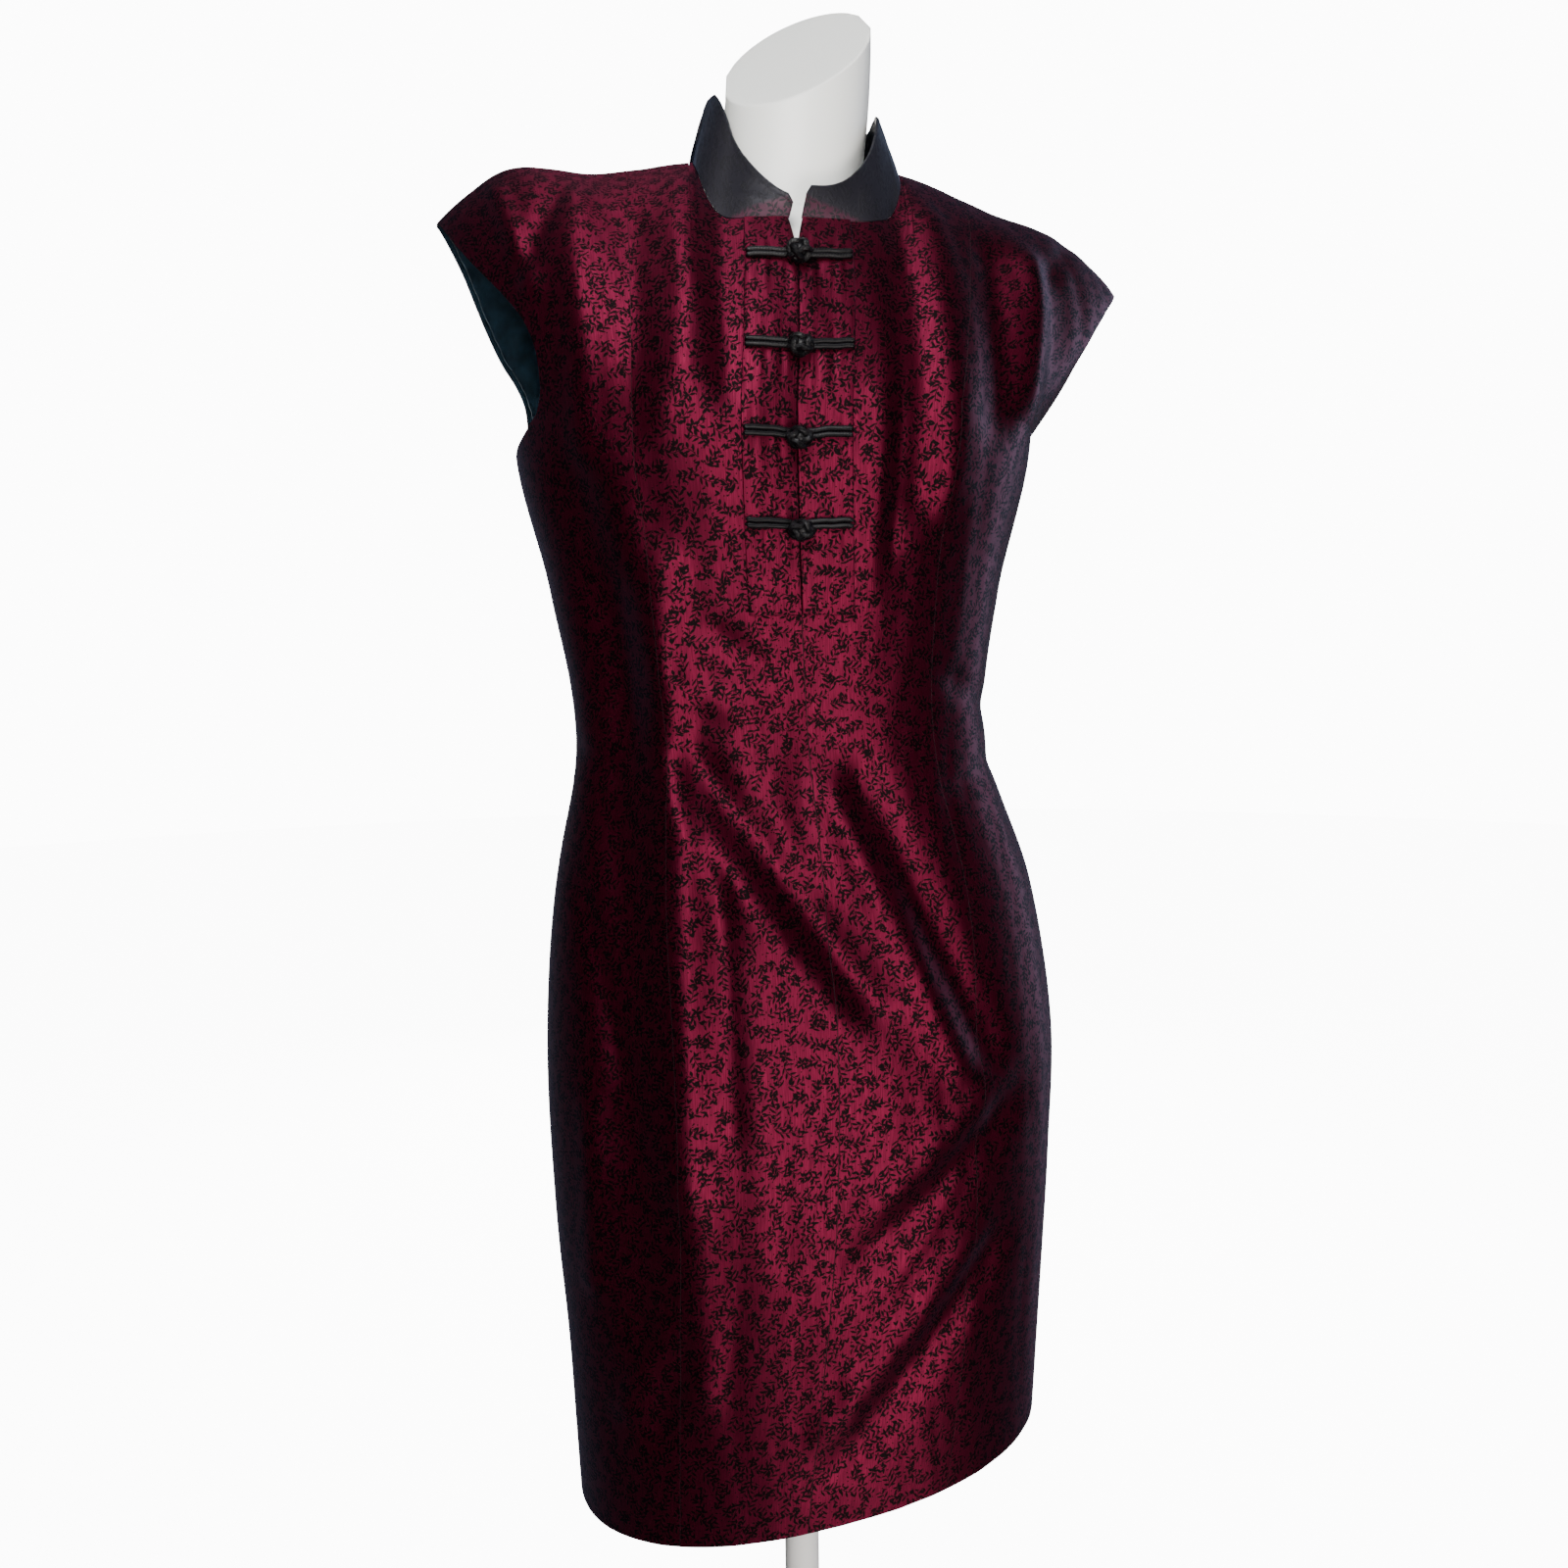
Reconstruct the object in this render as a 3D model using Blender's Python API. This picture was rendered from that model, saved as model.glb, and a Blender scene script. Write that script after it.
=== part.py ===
"""Fitted mini dress with a stand collar, cap sleeves and knotted frogs, on a limbless dress form.

Metres, +Z up. X points to the wearer's left and -Y to the front. The origin is on the floor,
on the axis of the form's pole.
The cloth is one surface, cloth(turn, level), and each piece of cloth is a part of it.
turn runs round the body: 0 at the centre front, 1 and -1 at the sides, 2 and -2 at the back.
level runs up it: the height above the hem up to the bust, and from there to 1 at the
shoulder ridge, on curves that bend over from the bust to the ridge.
"""
import math

import bmesh
import bpy
import numpy as np
from mathutils import Vector

# Driving dimensions
HEM_HEIGHT = 0.45
BUST = 0.70
RIDGE = 1.0
RIDGE_Y = 0.02
WALL = 0.0015
LINING_WALL = 0.0012
GAP = 0.0003
SQUARENESS = 2.3
HEM_TILT_X = 0.14
HEM_TILT_Y = -0.04
TILT_FADE = 0.35

# Sections of the skirt and bodice, from the hem to the bust.
# height, half width, front depth, back depth, sway, swing of the front seam, princess seam's turn
SECTIONS = np.array([
    (0.00, 0.164, 0.118, 0.130, 0.005, -0.019, 0.340),
    (0.10, 0.169, 0.123, 0.132, 0.005, -0.009, 0.347),
    (0.20, 0.175, 0.127, 0.136, 0.004, 0.001, 0.345),
    (0.30, 0.177, 0.125, 0.136, 0.004, 0.004, 0.350),
    (0.40, 0.166, 0.109, 0.112, 0.001, 0.004, 0.372),
    (0.50, 0.142, 0.091, 0.087, -0.006, 0.004, 0.390),
    (0.60, 0.153, 0.109, 0.090, -0.009, 0.000, 0.372),
    (0.70, 0.173, 0.128, 0.096, -0.009, -0.004, 0.352),
])

# The shoulder ridge, from the body's centre to the tip of each cap sleeve.
# share of the way out, wearer's left x, its height, wearer's right x, its height
SHOULDERS = np.array([
    (0.00, 0.000, 0.892, 0.000, 0.892),
    (0.29, 0.076, 0.887, 0.063, 0.887),
    (0.56, 0.142, 0.864, 0.124, 0.877),
    (0.83, 0.204, 0.843, 0.190, 0.875),
    (1.00, 0.245, 0.810, 0.232, 0.8415),
])

# Soft forms under the cloth: side of the body, x, height, half width, half height, rise
FORMS = [
    ("front", 0.082, 0.690, 0.045, 0.055, 0.007),
    ("front", -0.092, 0.690, 0.045, 0.055, 0.007),
    ("front", -0.008, 0.665, 0.022, 0.060, -0.003),
    ("back", 0.075, 0.250, 0.060, 0.080, 0.006),
    ("back", -0.068, 0.250, 0.060, 0.080, 0.006),
    ("back", 0.075, 0.770, 0.045, 0.060, 0.004),
    ("back", -0.085, 0.770, 0.045, 0.060, 0.004),
    ("back", 0.000, 0.500, 0.020, 0.100, -0.004),
]

# Largest folds: side of the body, start x and height, end x and height, half width, rise
FOLDS = [
    ("front", -0.090, 0.600, -0.086, 0.230, 0.013, 0.005),
    ("front", -0.122, 0.580, -0.121, 0.260, 0.015, -0.005),
    ("front", -0.067, 0.481, 0.028, 0.346, 0.014, -0.006),
    ("front", -0.078, 0.455, 0.006, 0.335, 0.014, 0.003),
    ("front", 0.036, 0.470, 0.104, 0.312, 0.014, -0.005),
    ("front", 0.014, 0.460, 0.086, 0.302, 0.013, 0.004),
    ("front", 0.116, 0.256, 0.030, 0.188, 0.014, -0.005),
    ("front", 0.108, 0.280, 0.030, 0.215, 0.013, 0.003),
    ("front", 0.105, 0.165, 0.012, 0.052, 0.014, -0.005),
    ("front", 0.090, 0.178, 0.002, 0.075, 0.013, 0.003),
    ("front", -0.118, 0.240, -0.115, 0.140, 0.014, -0.003),
    ("front", -0.080, 0.230, -0.080, 0.100, 0.013, 0.003),
    ("front", -0.143, 0.655, -0.115, 0.510, 0.014, -0.004),
    ("front", -0.118, 0.660, -0.088, 0.530, 0.012, 0.003),
    ("front", -0.133, 0.680, -0.137, 0.830, 0.011, 0.003),
    ("front", -0.104, 0.690, -0.105, 0.810, 0.012, -0.003),
    ("front", -0.076, 0.720, -0.073, 0.840, 0.011, 0.003),
    ("front", -0.052, 0.710, -0.050, 0.840, 0.010, -0.004),
    ("front", 0.061, 0.650, 0.058, 0.830, 0.011, -0.004),
    ("front", 0.082, 0.660, 0.082, 0.820, 0.012, 0.003),
    ("front", 0.112, 0.700, 0.117, 0.800, 0.012, -0.004),
    ("front", 0.141, 0.710, 0.148, 0.800, 0.012, 0.004),
    ("back", 0.090, 0.400, 0.100, 0.100, 0.016, -0.004),
    ("back", -0.080, 0.380, -0.090, 0.120, 0.015, -0.004),
    ("back", -0.125, 0.540, 0.050, 0.465, 0.014, -0.005),
    ("back", 0.120, 0.565, -0.030, 0.495, 0.012, -0.004),
    ("back", 0.030, 0.300, 0.022, 0.060, 0.018, 0.004),
    ("back", -0.045, 0.440, -0.010, 0.330, 0.014, -0.004),
    ("back", -0.130, 0.740, -0.150, 0.810, 0.012, -0.003),
    ("back", 0.130, 0.740, 0.160, 0.800, 0.012, -0.003),
    ("back", 0.060, 0.600, 0.075, 0.760, 0.014, 0.003),
    ("back", -0.050, 0.620, -0.070, 0.770, 0.013, -0.003),
]

# Neckline: turn at which it meets the shoulder ridge, and its share of the rise at each centre.
# The squareness is the front neckline's; the round one is that of the back, the collar's top and the form.
NECK_TURN = 0.183
NECK_FRONT = 0.45
NECK_BACK = 0.70
NECK_SQUARENESS = 6.0
ROUND_SQUARENESS = 2.5
FRONT_BEND = 1.7
BACK_BEND = 2.6

# Seams: how far the princess seam runs inward above the bust, how much of the front seam's swing it
# follows, and how much of that swing is gone at the ridge
PRINCESS_INWARD = 0.067
PRINCESS_FOLLOWS = 0.7
SWING_CALMED = 0.6

# Armhole edges: share of the way up from the underarm to the sleeve's tip, and the turn of the
# front edge on the wearer's left and right and of the back edge on the wearer's left and right
ARMHOLES = np.array([
    (0.000, 1.000, 1.000, 1.000, 1.000),
    (0.020, 0.960, 0.800, 1.040, 1.100),
    (0.045, 0.920, 0.690, 1.095, 1.190),
    (0.090, 0.867, 0.625, 1.175, 1.260),
    (0.140, 0.828, 0.604, 1.229, 1.295),
    (0.200, 0.798, 0.597, 1.269, 1.290),
    (0.260, 0.778, 0.609, 1.296, 1.262),
    (0.340, 0.762, 0.646, 1.316, 1.245),
    (0.420, 0.755, 0.683, 1.325, 1.238),
    (0.580, 0.758, 0.742, 1.316, 1.232),
    (0.800, 0.774, 0.790, 1.277, 1.205),
    (0.900, 0.785, 0.806, 1.250, 1.190),
    (1.000, 0.820, 0.820, 1.180, 1.180),
])
UNDERARM_DROP = 0.016

# Front opening, placket and frogs
PLACKET_BOTTOM = 0.576
PLACKET_HALF_WIDTH = 0.032
V_BOTTOM = 0.36
V_HALF_WIDTH = 0.0045
FROG_HEIGHTS = [0.631, 0.681, 0.730, 0.787]
CORD_RADIUS = 0.0020
CORD_OVERLAP = 0.95
CORD_SIDES = 5
CORD_FROM_EDGE = 0.0005
KNOT_RADIUS = 0.0068
KNOT_DROP = 0.004
KNOT_GROOVE = 0.06
STRAP_SAG = 0.0015

# Collar: turn round the neck, band height on the wearer's left and right, inward lean of the top
COLLAR = np.array([
    (0.00, 0.019, 0.012, 0.000),
    (0.35, 0.020, 0.018, 0.003),
    (0.70, 0.026, 0.029, 0.008),
    (1.00, 0.036, 0.044, 0.012),
    (1.25, 0.043, 0.051, 0.012),
    (2.00, 0.048, 0.050, 0.012),
])
COLLAR_SHIFT = 0.003
COLLAR_LEAN_POWER = 1.2
COLLAR_ROWS = 5

# Dress form and stand
FORM_BOTTOM = 0.16
FORM_SHOULDER = 0.172
FORM_SHOULDER_DROP = 0.022
FORM_INSET = np.array([(0.0, 0.014), (0.40, 0.013), (0.70, 0.011), (0.90, 0.009), (0.97, 0.006), (1.0, 0.0021)])
# Hollows of the form under each shoulder and beside the neck: depth, turn, level, half sizes in both
FORM_HOLLOWS = [
    (0.024, 0.95, 0.765, 0.36, 0.085),
    (0.006, 0.20, 0.930, 0.06, 0.060),
]
FORM_NECK_TURN = 0.19
FORM_NECK_FRONT = 0.56
FORM_NECK_BACK = 0.78
NECK_CENTRE = (0.0088, -0.010, 0.951)
NECK_RADII = (0.0492, 0.048)
NECK_SLANT = (0.50, 0.95)
POLE_RADIUS = 0.0125
BASE_RADIUS = 0.16
BASE_THICKNESS = 0.008

# Rows of the panels' grids up to the placket, from there to the underarm, and above the bust;
# columns of the spans between their seam lines; rows and columns that lining and placket share
SKIRT_ROWS = 21
UNDERARM_ROWS = 3
RISE_ROWS = 9
OPENING_COLUMNS = 3
NECK_COLUMNS = [0, 0.5, 0.8, 0.95]
SHOULDER_COLUMNS = 3
SIDE_COLUMNS = 8
BACK_NECK_COLUMNS = [0, 0.45, 0.78, 0.95]
PLACKET_FIRST_ROW = SKIRT_ROWS - 1
LINING_FIRST_ROW = PLACKET_FIRST_ROW + 2
LINING_COLUMNS = 5
LINING_SET_BACK = 0.0020
FOUND_IN = 40

SIDES = [("left", True), ("right", False)]

# Colours in linear light, with roughness and metallic value
LOOKS = {
    "satin_jacquard": ((0.19, 0.013, 0.035), 0.35, 0.2),
    "collar_satin": ((0.035, 0.022, 0.045), 0.4, 0.2),
    "lining_twill": ((0.008, 0.020, 0.032), 0.5, 0.0),
    "black_cord": ((0.010, 0.008, 0.010), 0.3, 0.0),
    "white_plastic": ((0.78, 0.80, 0.76), 0.35, 0.0),
    "white_enamel": ((0.72, 0.73, 0.72), 0.35, 0.0),
}


def curve(table, column, at):
    """Cubic Hermite curve through a column of a table, over its first column, level at its end."""
    xs = table[:, 0]
    ys = table[:, column]
    slopes = np.gradient(ys, xs)
    slopes[-1] = 0.0
    at = np.clip(at, xs[0], xs[-1])
    i = np.clip(np.searchsorted(xs, at) - 1, 0, len(xs) - 2)
    step = xs[i + 1] - xs[i]
    t = (at - xs[i]) / step
    start = (2 * t**3 - 3 * t**2 + 1) * ys[i] + (t**3 - 2 * t**2 + t) * step * slopes[i]
    end = (3 * t**2 - 2 * t**3) * ys[i + 1] + (t**3 - t**2) * step * slopes[i + 1]
    return start + end


def ring(turn):
    """Unit ring: across = r sin(a), along = r cos(a), with r = (|sin a|^n + |cos a|^n)^(-1/n)."""
    angle = turn * math.pi / 2
    across = np.sin(angle)
    along = np.cos(angle)
    radius = (np.abs(across)**SQUARENESS + np.abs(along)**SQUARENESS) ** (-1 / SQUARENESS)
    return across * radius, along * radius


def shoulder(share, left, reach=None):
    """Point of the ridge at a share of the way out; reach shortens it for the dress form."""
    way = np.abs(share)
    drop = 0.0
    if reach is not None:
        length = np.where(left, SHOULDERS[-1, 1], SHOULDERS[-1, 3])
        drop = FORM_SHOULDER_DROP * way**7
        way = way * reach / length
    x = np.where(left, curve(SHOULDERS, 1, way), -curve(SHOULDERS, 3, way))
    z = np.where(left, curve(SHOULDERS, 2, way), curve(SHOULDERS, 4, way))
    return x, z - drop


def smooth_body(turn, level, reach=None):
    """Surface without folds: rings up to the bust, then curves that bend over to the ridge.

    Above the bust, with w from 0 to 1 and e = 2/bend: rise = sin(w pi/2)^e and
    fall = cos(w pi/2)^e carry each point of the bust ring to its point of the ridge.
    """
    turn, level = np.broadcast_arrays(np.asarray(turn, float), np.asarray(level, float))
    low = np.minimum(level, BUST)
    across, along = ring(turn)
    depth = np.where(along > 0, curve(SECTIONS, 2, low), curve(SECTIONS, 3, low))
    base_x = across * curve(SECTIONS, 1, low) + curve(SECTIONS, 4, low)
    base_y = -along * depth
    fade = np.clip(1 - low / TILT_FADE, 0, 1) if reach is None else 0.0
    base_z = low + (HEM_TILT_X * base_x + HEM_TILT_Y * base_y) * fade
    way = np.clip((level - BUST) / (RIDGE - BUST), 0, 1) * math.pi / 2
    power = 2 / ((FRONT_BEND + BACK_BEND) / 2 - (BACK_BEND - FRONT_BEND) / 2 * along)
    rise = np.sin(way) ** power
    fall = np.maximum(np.cos(way), 0) ** power
    top_x, top_z = shoulder(across, across >= 0, reach)
    x = base_x + (top_x - base_x) * rise
    y = RIDGE_Y + (base_y - RIDGE_Y) * fall
    z = base_z + (top_z - BUST) * rise
    y = np.where(level > BUST, y, base_y)
    return np.stack([x, y, z], -1)


def outward(turn, level, reach=None):
    """Outward normal of the smooth body, from differences in turn and level."""
    turn, level = np.broadcast_arrays(np.asarray(turn, float), np.asarray(level, float))
    step = 0.004
    flat = np.clip((RIDGE - level) / (4 * step), 0, 1)
    level = np.clip(level, step, RIDGE - 2 * step)
    round_it = smooth_body(turn + step, level, reach) - smooth_body(turn - step, level, reach)
    up_it = smooth_body(turn, level + step, reach) - smooth_body(turn, level - step, reach)
    normal = np.cross(round_it, up_it)
    normal[..., 1] *= flat
    return normal / np.linalg.norm(normal, axis=-1, keepdims=True)


def smooth_step(value):
    value = np.clip(value, 0, 1)
    return value * value * (3 - 2 * value)


def relief(point, turn):
    """Rise of the soft forms and folds: Gaussian round a point, or along a segment in x and z."""
    total = np.zeros(point.shape[:-1])
    x = point[..., 0]
    z = point[..., 2]
    facing = {"front": smooth_step((1 - np.abs(turn)) * 5), "back": smooth_step((np.abs(turn) - 1) * 5)}
    for side, at_x, at_z, half_width, half_height, rise in FORMS:
        spread = ((x - at_x) / half_width) ** 2 + ((z - at_z) / half_height) ** 2
        total += facing[side] * rise * np.exp(-spread)
    for side, x0, z0, x1, z1, half_width, rise in FOLDS:
        length = math.hypot(x1 - x0, z1 - z0)
        along = ((x - x0) * (x1 - x0) + (z - z0) * (z1 - z0)) / length
        off = ((x - x0) * (z1 - z0) - (z - z0) * (x1 - x0)) / length
        beyond = np.maximum(np.maximum(-along, along - length), 0)
        shape = np.exp(-(off / half_width) ** 2 - (beyond / (1.5 * half_width)) ** 2)
        total += facing[side] * rise * shape
    return total


def cloth(turn, level, out=0.0):
    """Outer surface of the cloth, folds included, moved out by a distance; and its normals."""
    turn, level = np.broadcast_arrays(np.asarray(turn, float), np.asarray(level, float))
    point = smooth_body(turn, level)
    normal = outward(turn, level)
    lift = relief(point, turn) + out
    return point + normal * lift[..., None], normal


def level_at(height):
    """Level of a height on the centre front."""
    if height <= BUST:
        return height
    share = (height - BUST) / (SHOULDERS[0, 2] - BUST)
    way = math.asin(share ** (FRONT_BEND / 2)) / (math.pi / 2)
    return BUST + (RIDGE - BUST) * way


def turn_of(distance, level, left):
    """Turn of a short distance across the centre front."""
    rise = np.sin(np.clip((level - BUST) / (RIDGE - BUST), 0, 1) * math.pi / 2) ** (2 / FRONT_BEND)
    low = curve(SECTIONS, 1, np.minimum(level, BUST))
    tip = SHOULDERS[-1, 1] if left else SHOULDERS[-1, 3]
    return distance / ((low + (tip - low) * rise) * math.pi / 2)


def centre_turn(level):
    """Turn of the centre front seam, which swings a little to one side."""
    swing = curve(SECTIONS, 5, np.minimum(level, BUST))
    calm = 1 - SWING_CALMED * np.clip((level - BUST) / (RIDGE - BUST), 0, 1)
    return turn_of(swing * calm, level, True)


def opening_turn(level, left):
    """Turn of one edge of the front opening, which parts in a V under the collar."""
    share = np.clip((level - BUST) / (RIDGE - BUST), 0, 1)
    part = V_HALF_WIDTH * np.clip((share - V_BOTTOM) / (NECK_FRONT - V_BOTTOM), 0, 1)
    return centre_turn(level) + (1 if left else -1) * turn_of(part, level, left)


def placket_turn(level, left):
    """Turn of the placket's outer edge."""
    return centre_turn(level) + (1 if left else -1) * turn_of(PLACKET_HALF_WIDTH, level, left)


def princess_turn(level, left):
    """Turn of a princess seam: the table up to the bust, then inward to the shoulder."""
    share = np.clip((level - BUST) / (RIDGE - BUST), 0, 1)
    way = curve(SECTIONS, 6, np.minimum(level, BUST)) - PRINCESS_INWARD * share
    return (1 if left else -1) * way + PRINCESS_FOLLOWS * centre_turn(level)


def neck_share(turn, centre_share, squareness, neck_turn=NECK_TURN):
    """Share of the rise at which the neckline cuts a line of constant turn from its centre.

    It is a superellipse: centre + (1 - centre) (1 - (1 - t^n)^(1/n)), t being the share of neck_turn.
    """
    t = np.clip(np.abs(turn) / neck_turn, 0, 1)
    return centre_share + (1 - centre_share) * (1 - (1 - t**squareness) ** (1 / squareness))


def armhole_turn(level, front, left):
    """Turn of an armhole edge, which is the side seam's below the underarm."""
    share = np.clip((level - BUST + UNDERARM_DROP) / (RIDGE - BUST + UNDERARM_DROP), 0, 1)
    return curve(ARMHOLES, (1 if front else 3) + (0 if left else 1), share)


def pull_in(grid, edges, distance):
    """Move the named edges of a grid of points along the surface, towards the next row or column."""
    for edge in edges:
        first, second = {
            "start": (np.s_[:, 0], np.s_[:, 1]),
            "end": (np.s_[:, -1], np.s_[:, -2]),
            "bottom": (np.s_[0, :], np.s_[1, :]),
            "top": (np.s_[-1, :], np.s_[-2, :]),
        }[edge]
        way = grid[second] - grid[first]
        grid[first] += distance * way / np.linalg.norm(way, axis=-1, keepdims=True)
    return grid


def rows_and_shares():
    """Levels of the rows up to the bust, two at the placket's end and underarm, and shares of the rise."""
    skirt = np.linspace(0, PLACKET_BOTTOM, SKIRT_ROWS)
    bodice = np.linspace(PLACKET_BOTTOM, BUST - UNDERARM_DROP, UNDERARM_ROWS + 1)[1:]
    low = np.concatenate([skirt, bodice, [BUST - UNDERARM_DROP / 2, BUST]])
    return low, np.linspace(0, 1, RISE_ROWS + 1)[1:]


def even(count):
    """Shares of equal spans."""
    return np.arange(count) / count


def turn_between(lines, spans, level):
    """Turn of each column: at each line, and at the given shares of the way to the next."""
    columns = []
    for k, shares in enumerate(spans):
        for s in shares:
            at = level[..., len(columns)]
            columns.append(lines[k](at) * (1 - s) + lines[k + 1](at) * s)
    columns.append(lines[-1](level[..., -1]))
    return np.stack(columns, -1)


def panel_grid(lines, spans, top_share):
    """Turn and level of a panel's grid, between seam lines and up to its top edge.

    Each column's top is where it meets the top edge, found by repeated substitution.
    """
    low, high = rows_and_shares()
    count = sum(len(shares) for shares in spans) + 1
    top = np.ones(count)
    for _ in range(FOUND_IN):
        top = 0.5 * top + 0.5 * top_share(turn_between(lines, spans, BUST + (RIDGE - BUST) * top))
    level = np.concatenate([
        np.repeat(low[:, None], count, 1),
        BUST + (RIDGE - BUST) * high[:, None] * top[None, :],
    ])
    return turn_between(lines, spans, level), level


def shell(name, outer, normal, wall, look, closed=False):
    """Closed wall: a grid of outer points, the same grid moved in by the wall, and its edges."""
    rows, columns = outer.shape[:2]
    inner = outer - normal * wall
    points = np.concatenate([outer.reshape(-1, 3), inner.reshape(-1, 3)])
    points[:, 2] += HEM_HEIGHT
    count = rows * columns
    faces = []
    spans = columns if closed else columns - 1
    for r in range(rows - 1):
        for c in range(spans):
            d = (c + 1) % columns
            a0, a1, b1, b0 = r * columns + c, r * columns + d, (r + 1) * columns + d, (r + 1) * columns + c
            faces.append((a0, a1, b1, b0))
            faces.append((a0 + count, b0 + count, b1 + count, a1 + count))
    for c in range(spans):
        d = (c + 1) % columns
        last = (rows - 1) * columns
        faces.append((c, c + count, d + count, d))
        faces.append((last + c, last + d, last + d + count, last + c + count))
    if not closed:
        for r in range(rows - 1):
            a, b = r * columns, (r + 1) * columns
            faces.append((a, b, b + count, a + count))
            a, b = a + columns - 1, b + columns - 1
            faces.append((a, a + count, b + count, b))
    return solid(name, points, faces, look)


def solid(name, points, faces, look):
    """New object from points and faces, its faces turned outward."""
    mesh = bpy.data.meshes.new(name)
    mesh.from_pydata([tuple(p) for p in points], [], faces)
    shape = bmesh.new()
    shape.from_mesh(mesh)
    bmesh.ops.triangulate(shape, faces=shape.faces)
    bmesh.ops.recalc_face_normals(shape, faces=shape.faces)
    if shape.calc_volume(signed=True) < 0:
        bmesh.ops.reverse_faces(shape, faces=shape.faces)
    shape.to_mesh(mesh)
    shape.free()
    mesh.shade_smooth()
    mesh.set_sharp_from_angle(angle=math.radians(50))
    mesh.materials.append(material(look))
    made = bpy.data.objects.new(name, mesh)
    collection.objects.link(made)
    return made


def material(look):
    """The named material, made on first use."""
    found = bpy.data.materials.get(look)
    if found:
        return found
    colour, roughness, metallic = LOOKS[look]
    made = bpy.data.materials.new(look)
    made.use_nodes = True
    shader = made.node_tree.nodes["Principled BSDF"]
    shader.inputs["Base Color"].default_value = (*colour, 1)
    shader.inputs["Roughness"].default_value = roughness
    shader.inputs["Metallic"].default_value = metallic
    return made


def front_center_grid(left):
    """Grid of a centre front: opening, placket's edge, corner of the neck, princess seam."""
    sign = 1 if left else -1
    edge_at_top = placket_turn(np.array(RIDGE), left)
    seam_at_top = princess_turn(np.array(RIDGE), left)
    corner = (sign * NECK_TURN - edge_at_top) / (seam_at_top - edge_at_top)

    def neck_line(level):
        edge = placket_turn(level, left)
        return edge + (princess_turn(level, left) - edge) * corner

    lines = [lambda at: opening_turn(at, left), lambda at: placket_turn(at, left), neck_line,
             lambda at: princess_turn(at, left)]
    spans = [even(OPENING_COLUMNS), NECK_COLUMNS, even(SHOULDER_COLUMNS)]
    return panel_grid(lines, spans, lambda turn: neck_share(turn, NECK_FRONT, NECK_SQUARENESS))


def front_side_grid(left):
    """Grid of a side front, from the princess seam to the side seam, armhole and sleeve tip."""
    sign = 1 if left else -1
    lines = [lambda at: princess_turn(at, left), lambda at: sign * armhole_turn(at, True, left)]
    return panel_grid(lines, [even(SIDE_COLUMNS)], np.ones_like)


def back_grid(left):
    """Grid of a back: centre back seam, corner of the neck, side seam and armhole."""
    sign = 1 if left else -1
    lines = [lambda at: np.full_like(at, 2.0 * sign), lambda at: np.full_like(at, sign * (2 - NECK_TURN)),
             lambda at: sign * armhole_turn(at, False, left)]
    spans = [BACK_NECK_COLUMNS, even(SIDE_COLUMNS)]
    return panel_grid(lines, spans, lambda turn: neck_share(2 - np.abs(turn), NECK_BACK, ROUND_SQUARENESS))


def panels():
    """Centre fronts, side fronts with the cap sleeves, and backs."""
    grids = {"front_center_": front_center_grid, "front_side_": front_side_grid, "back_": back_grid}
    for name, left in SIDES:
        for part, grid in grids.items():
            turn, level = grid(left)
            point, normal = cloth(turn, level)
            pull_in(point, ["start", "end"], GAP / 2)
            ridge = level[-1] > RIDGE - 1e-6
            point[-1, ridge, 1] += GAP / 2 if part == "back_" else -GAP / 2
            shell(part + name, point, normal, WALL, "satin_jacquard")


def linings():
    """Lining inside each armhole, where the cap sleeve stands open: the panel's points moved in."""
    for name, left in SIDES:
        for part, grid in (("front", front_side_grid), ("back", back_grid)):
            turn, level = grid(left)
            used = np.s_[LINING_FIRST_ROW:-1, -LINING_COLUMNS:]
            point, normal = cloth(turn[used], level[used], -WALL - GAP)
            pull_in(point, ["end"], LINING_SET_BACK)
            shell("lining_" + part + "_" + name, point, normal, LINING_WALL, "lining_twill")


def placket():
    """Two strips on the centre fronts, either side of the opening: the panels' points moved out."""
    for name, left in SIDES:
        turn, level = front_center_grid(left)
        used = np.s_[PLACKET_FIRST_ROW:, :OPENING_COLUMNS + 1]
        point, normal = cloth(turn[used], level[used], GAP + WALL)
        pull_in(point, ["start", "top"], 2 * GAP)
        shell("placket_" + name, point, normal, WALL, "satin_jacquard")


def frog_point(height, across):
    """Point and normal on the placket's face, at a height and a distance across the centre."""
    level = level_at(height)
    turn = centre_turn(level) + turn_of(across, level, across > 0)
    point, normal = cloth(turn, level, 2 * GAP + WALL)
    return point, normal


def tube(name, path, normals, radius, look):
    """Double cord: a path swept by a section of two touching circles, closed at its ends."""
    section = []
    for centre, start in ((1, -0.5), (-1, 0.5)):
        for k in range(CORD_SIDES):
            angle = math.pi * (start + k / (CORD_SIDES - 1))
            section.append((radius * (centre * CORD_OVERLAP + math.cos(angle)), radius * math.sin(angle)))
    points = []
    for k, (centre, normal) in enumerate(zip(path, normals)):
        forward = path[min(k + 1, len(path) - 1)] - path[max(k - 1, 0)]
        forward /= np.linalg.norm(forward)
        wide = np.cross(normal, forward)
        for along, off in section:
            points.append(centre + wide * along + normal * off)
    points = np.array(points)
    points[:, 2] += HEM_HEIGHT
    count = len(section)
    faces = [tuple(range(count)), tuple(range((len(path) - 1) * count, len(path) * count))]
    for k in range(len(path) - 1):
        for c in range(count):
            d = (c + 1) % count
            faces.append((k * count + c, k * count + d, (k + 1) * count + d, (k + 1) * count + c))
    return solid(name, points, faces, look)


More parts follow.
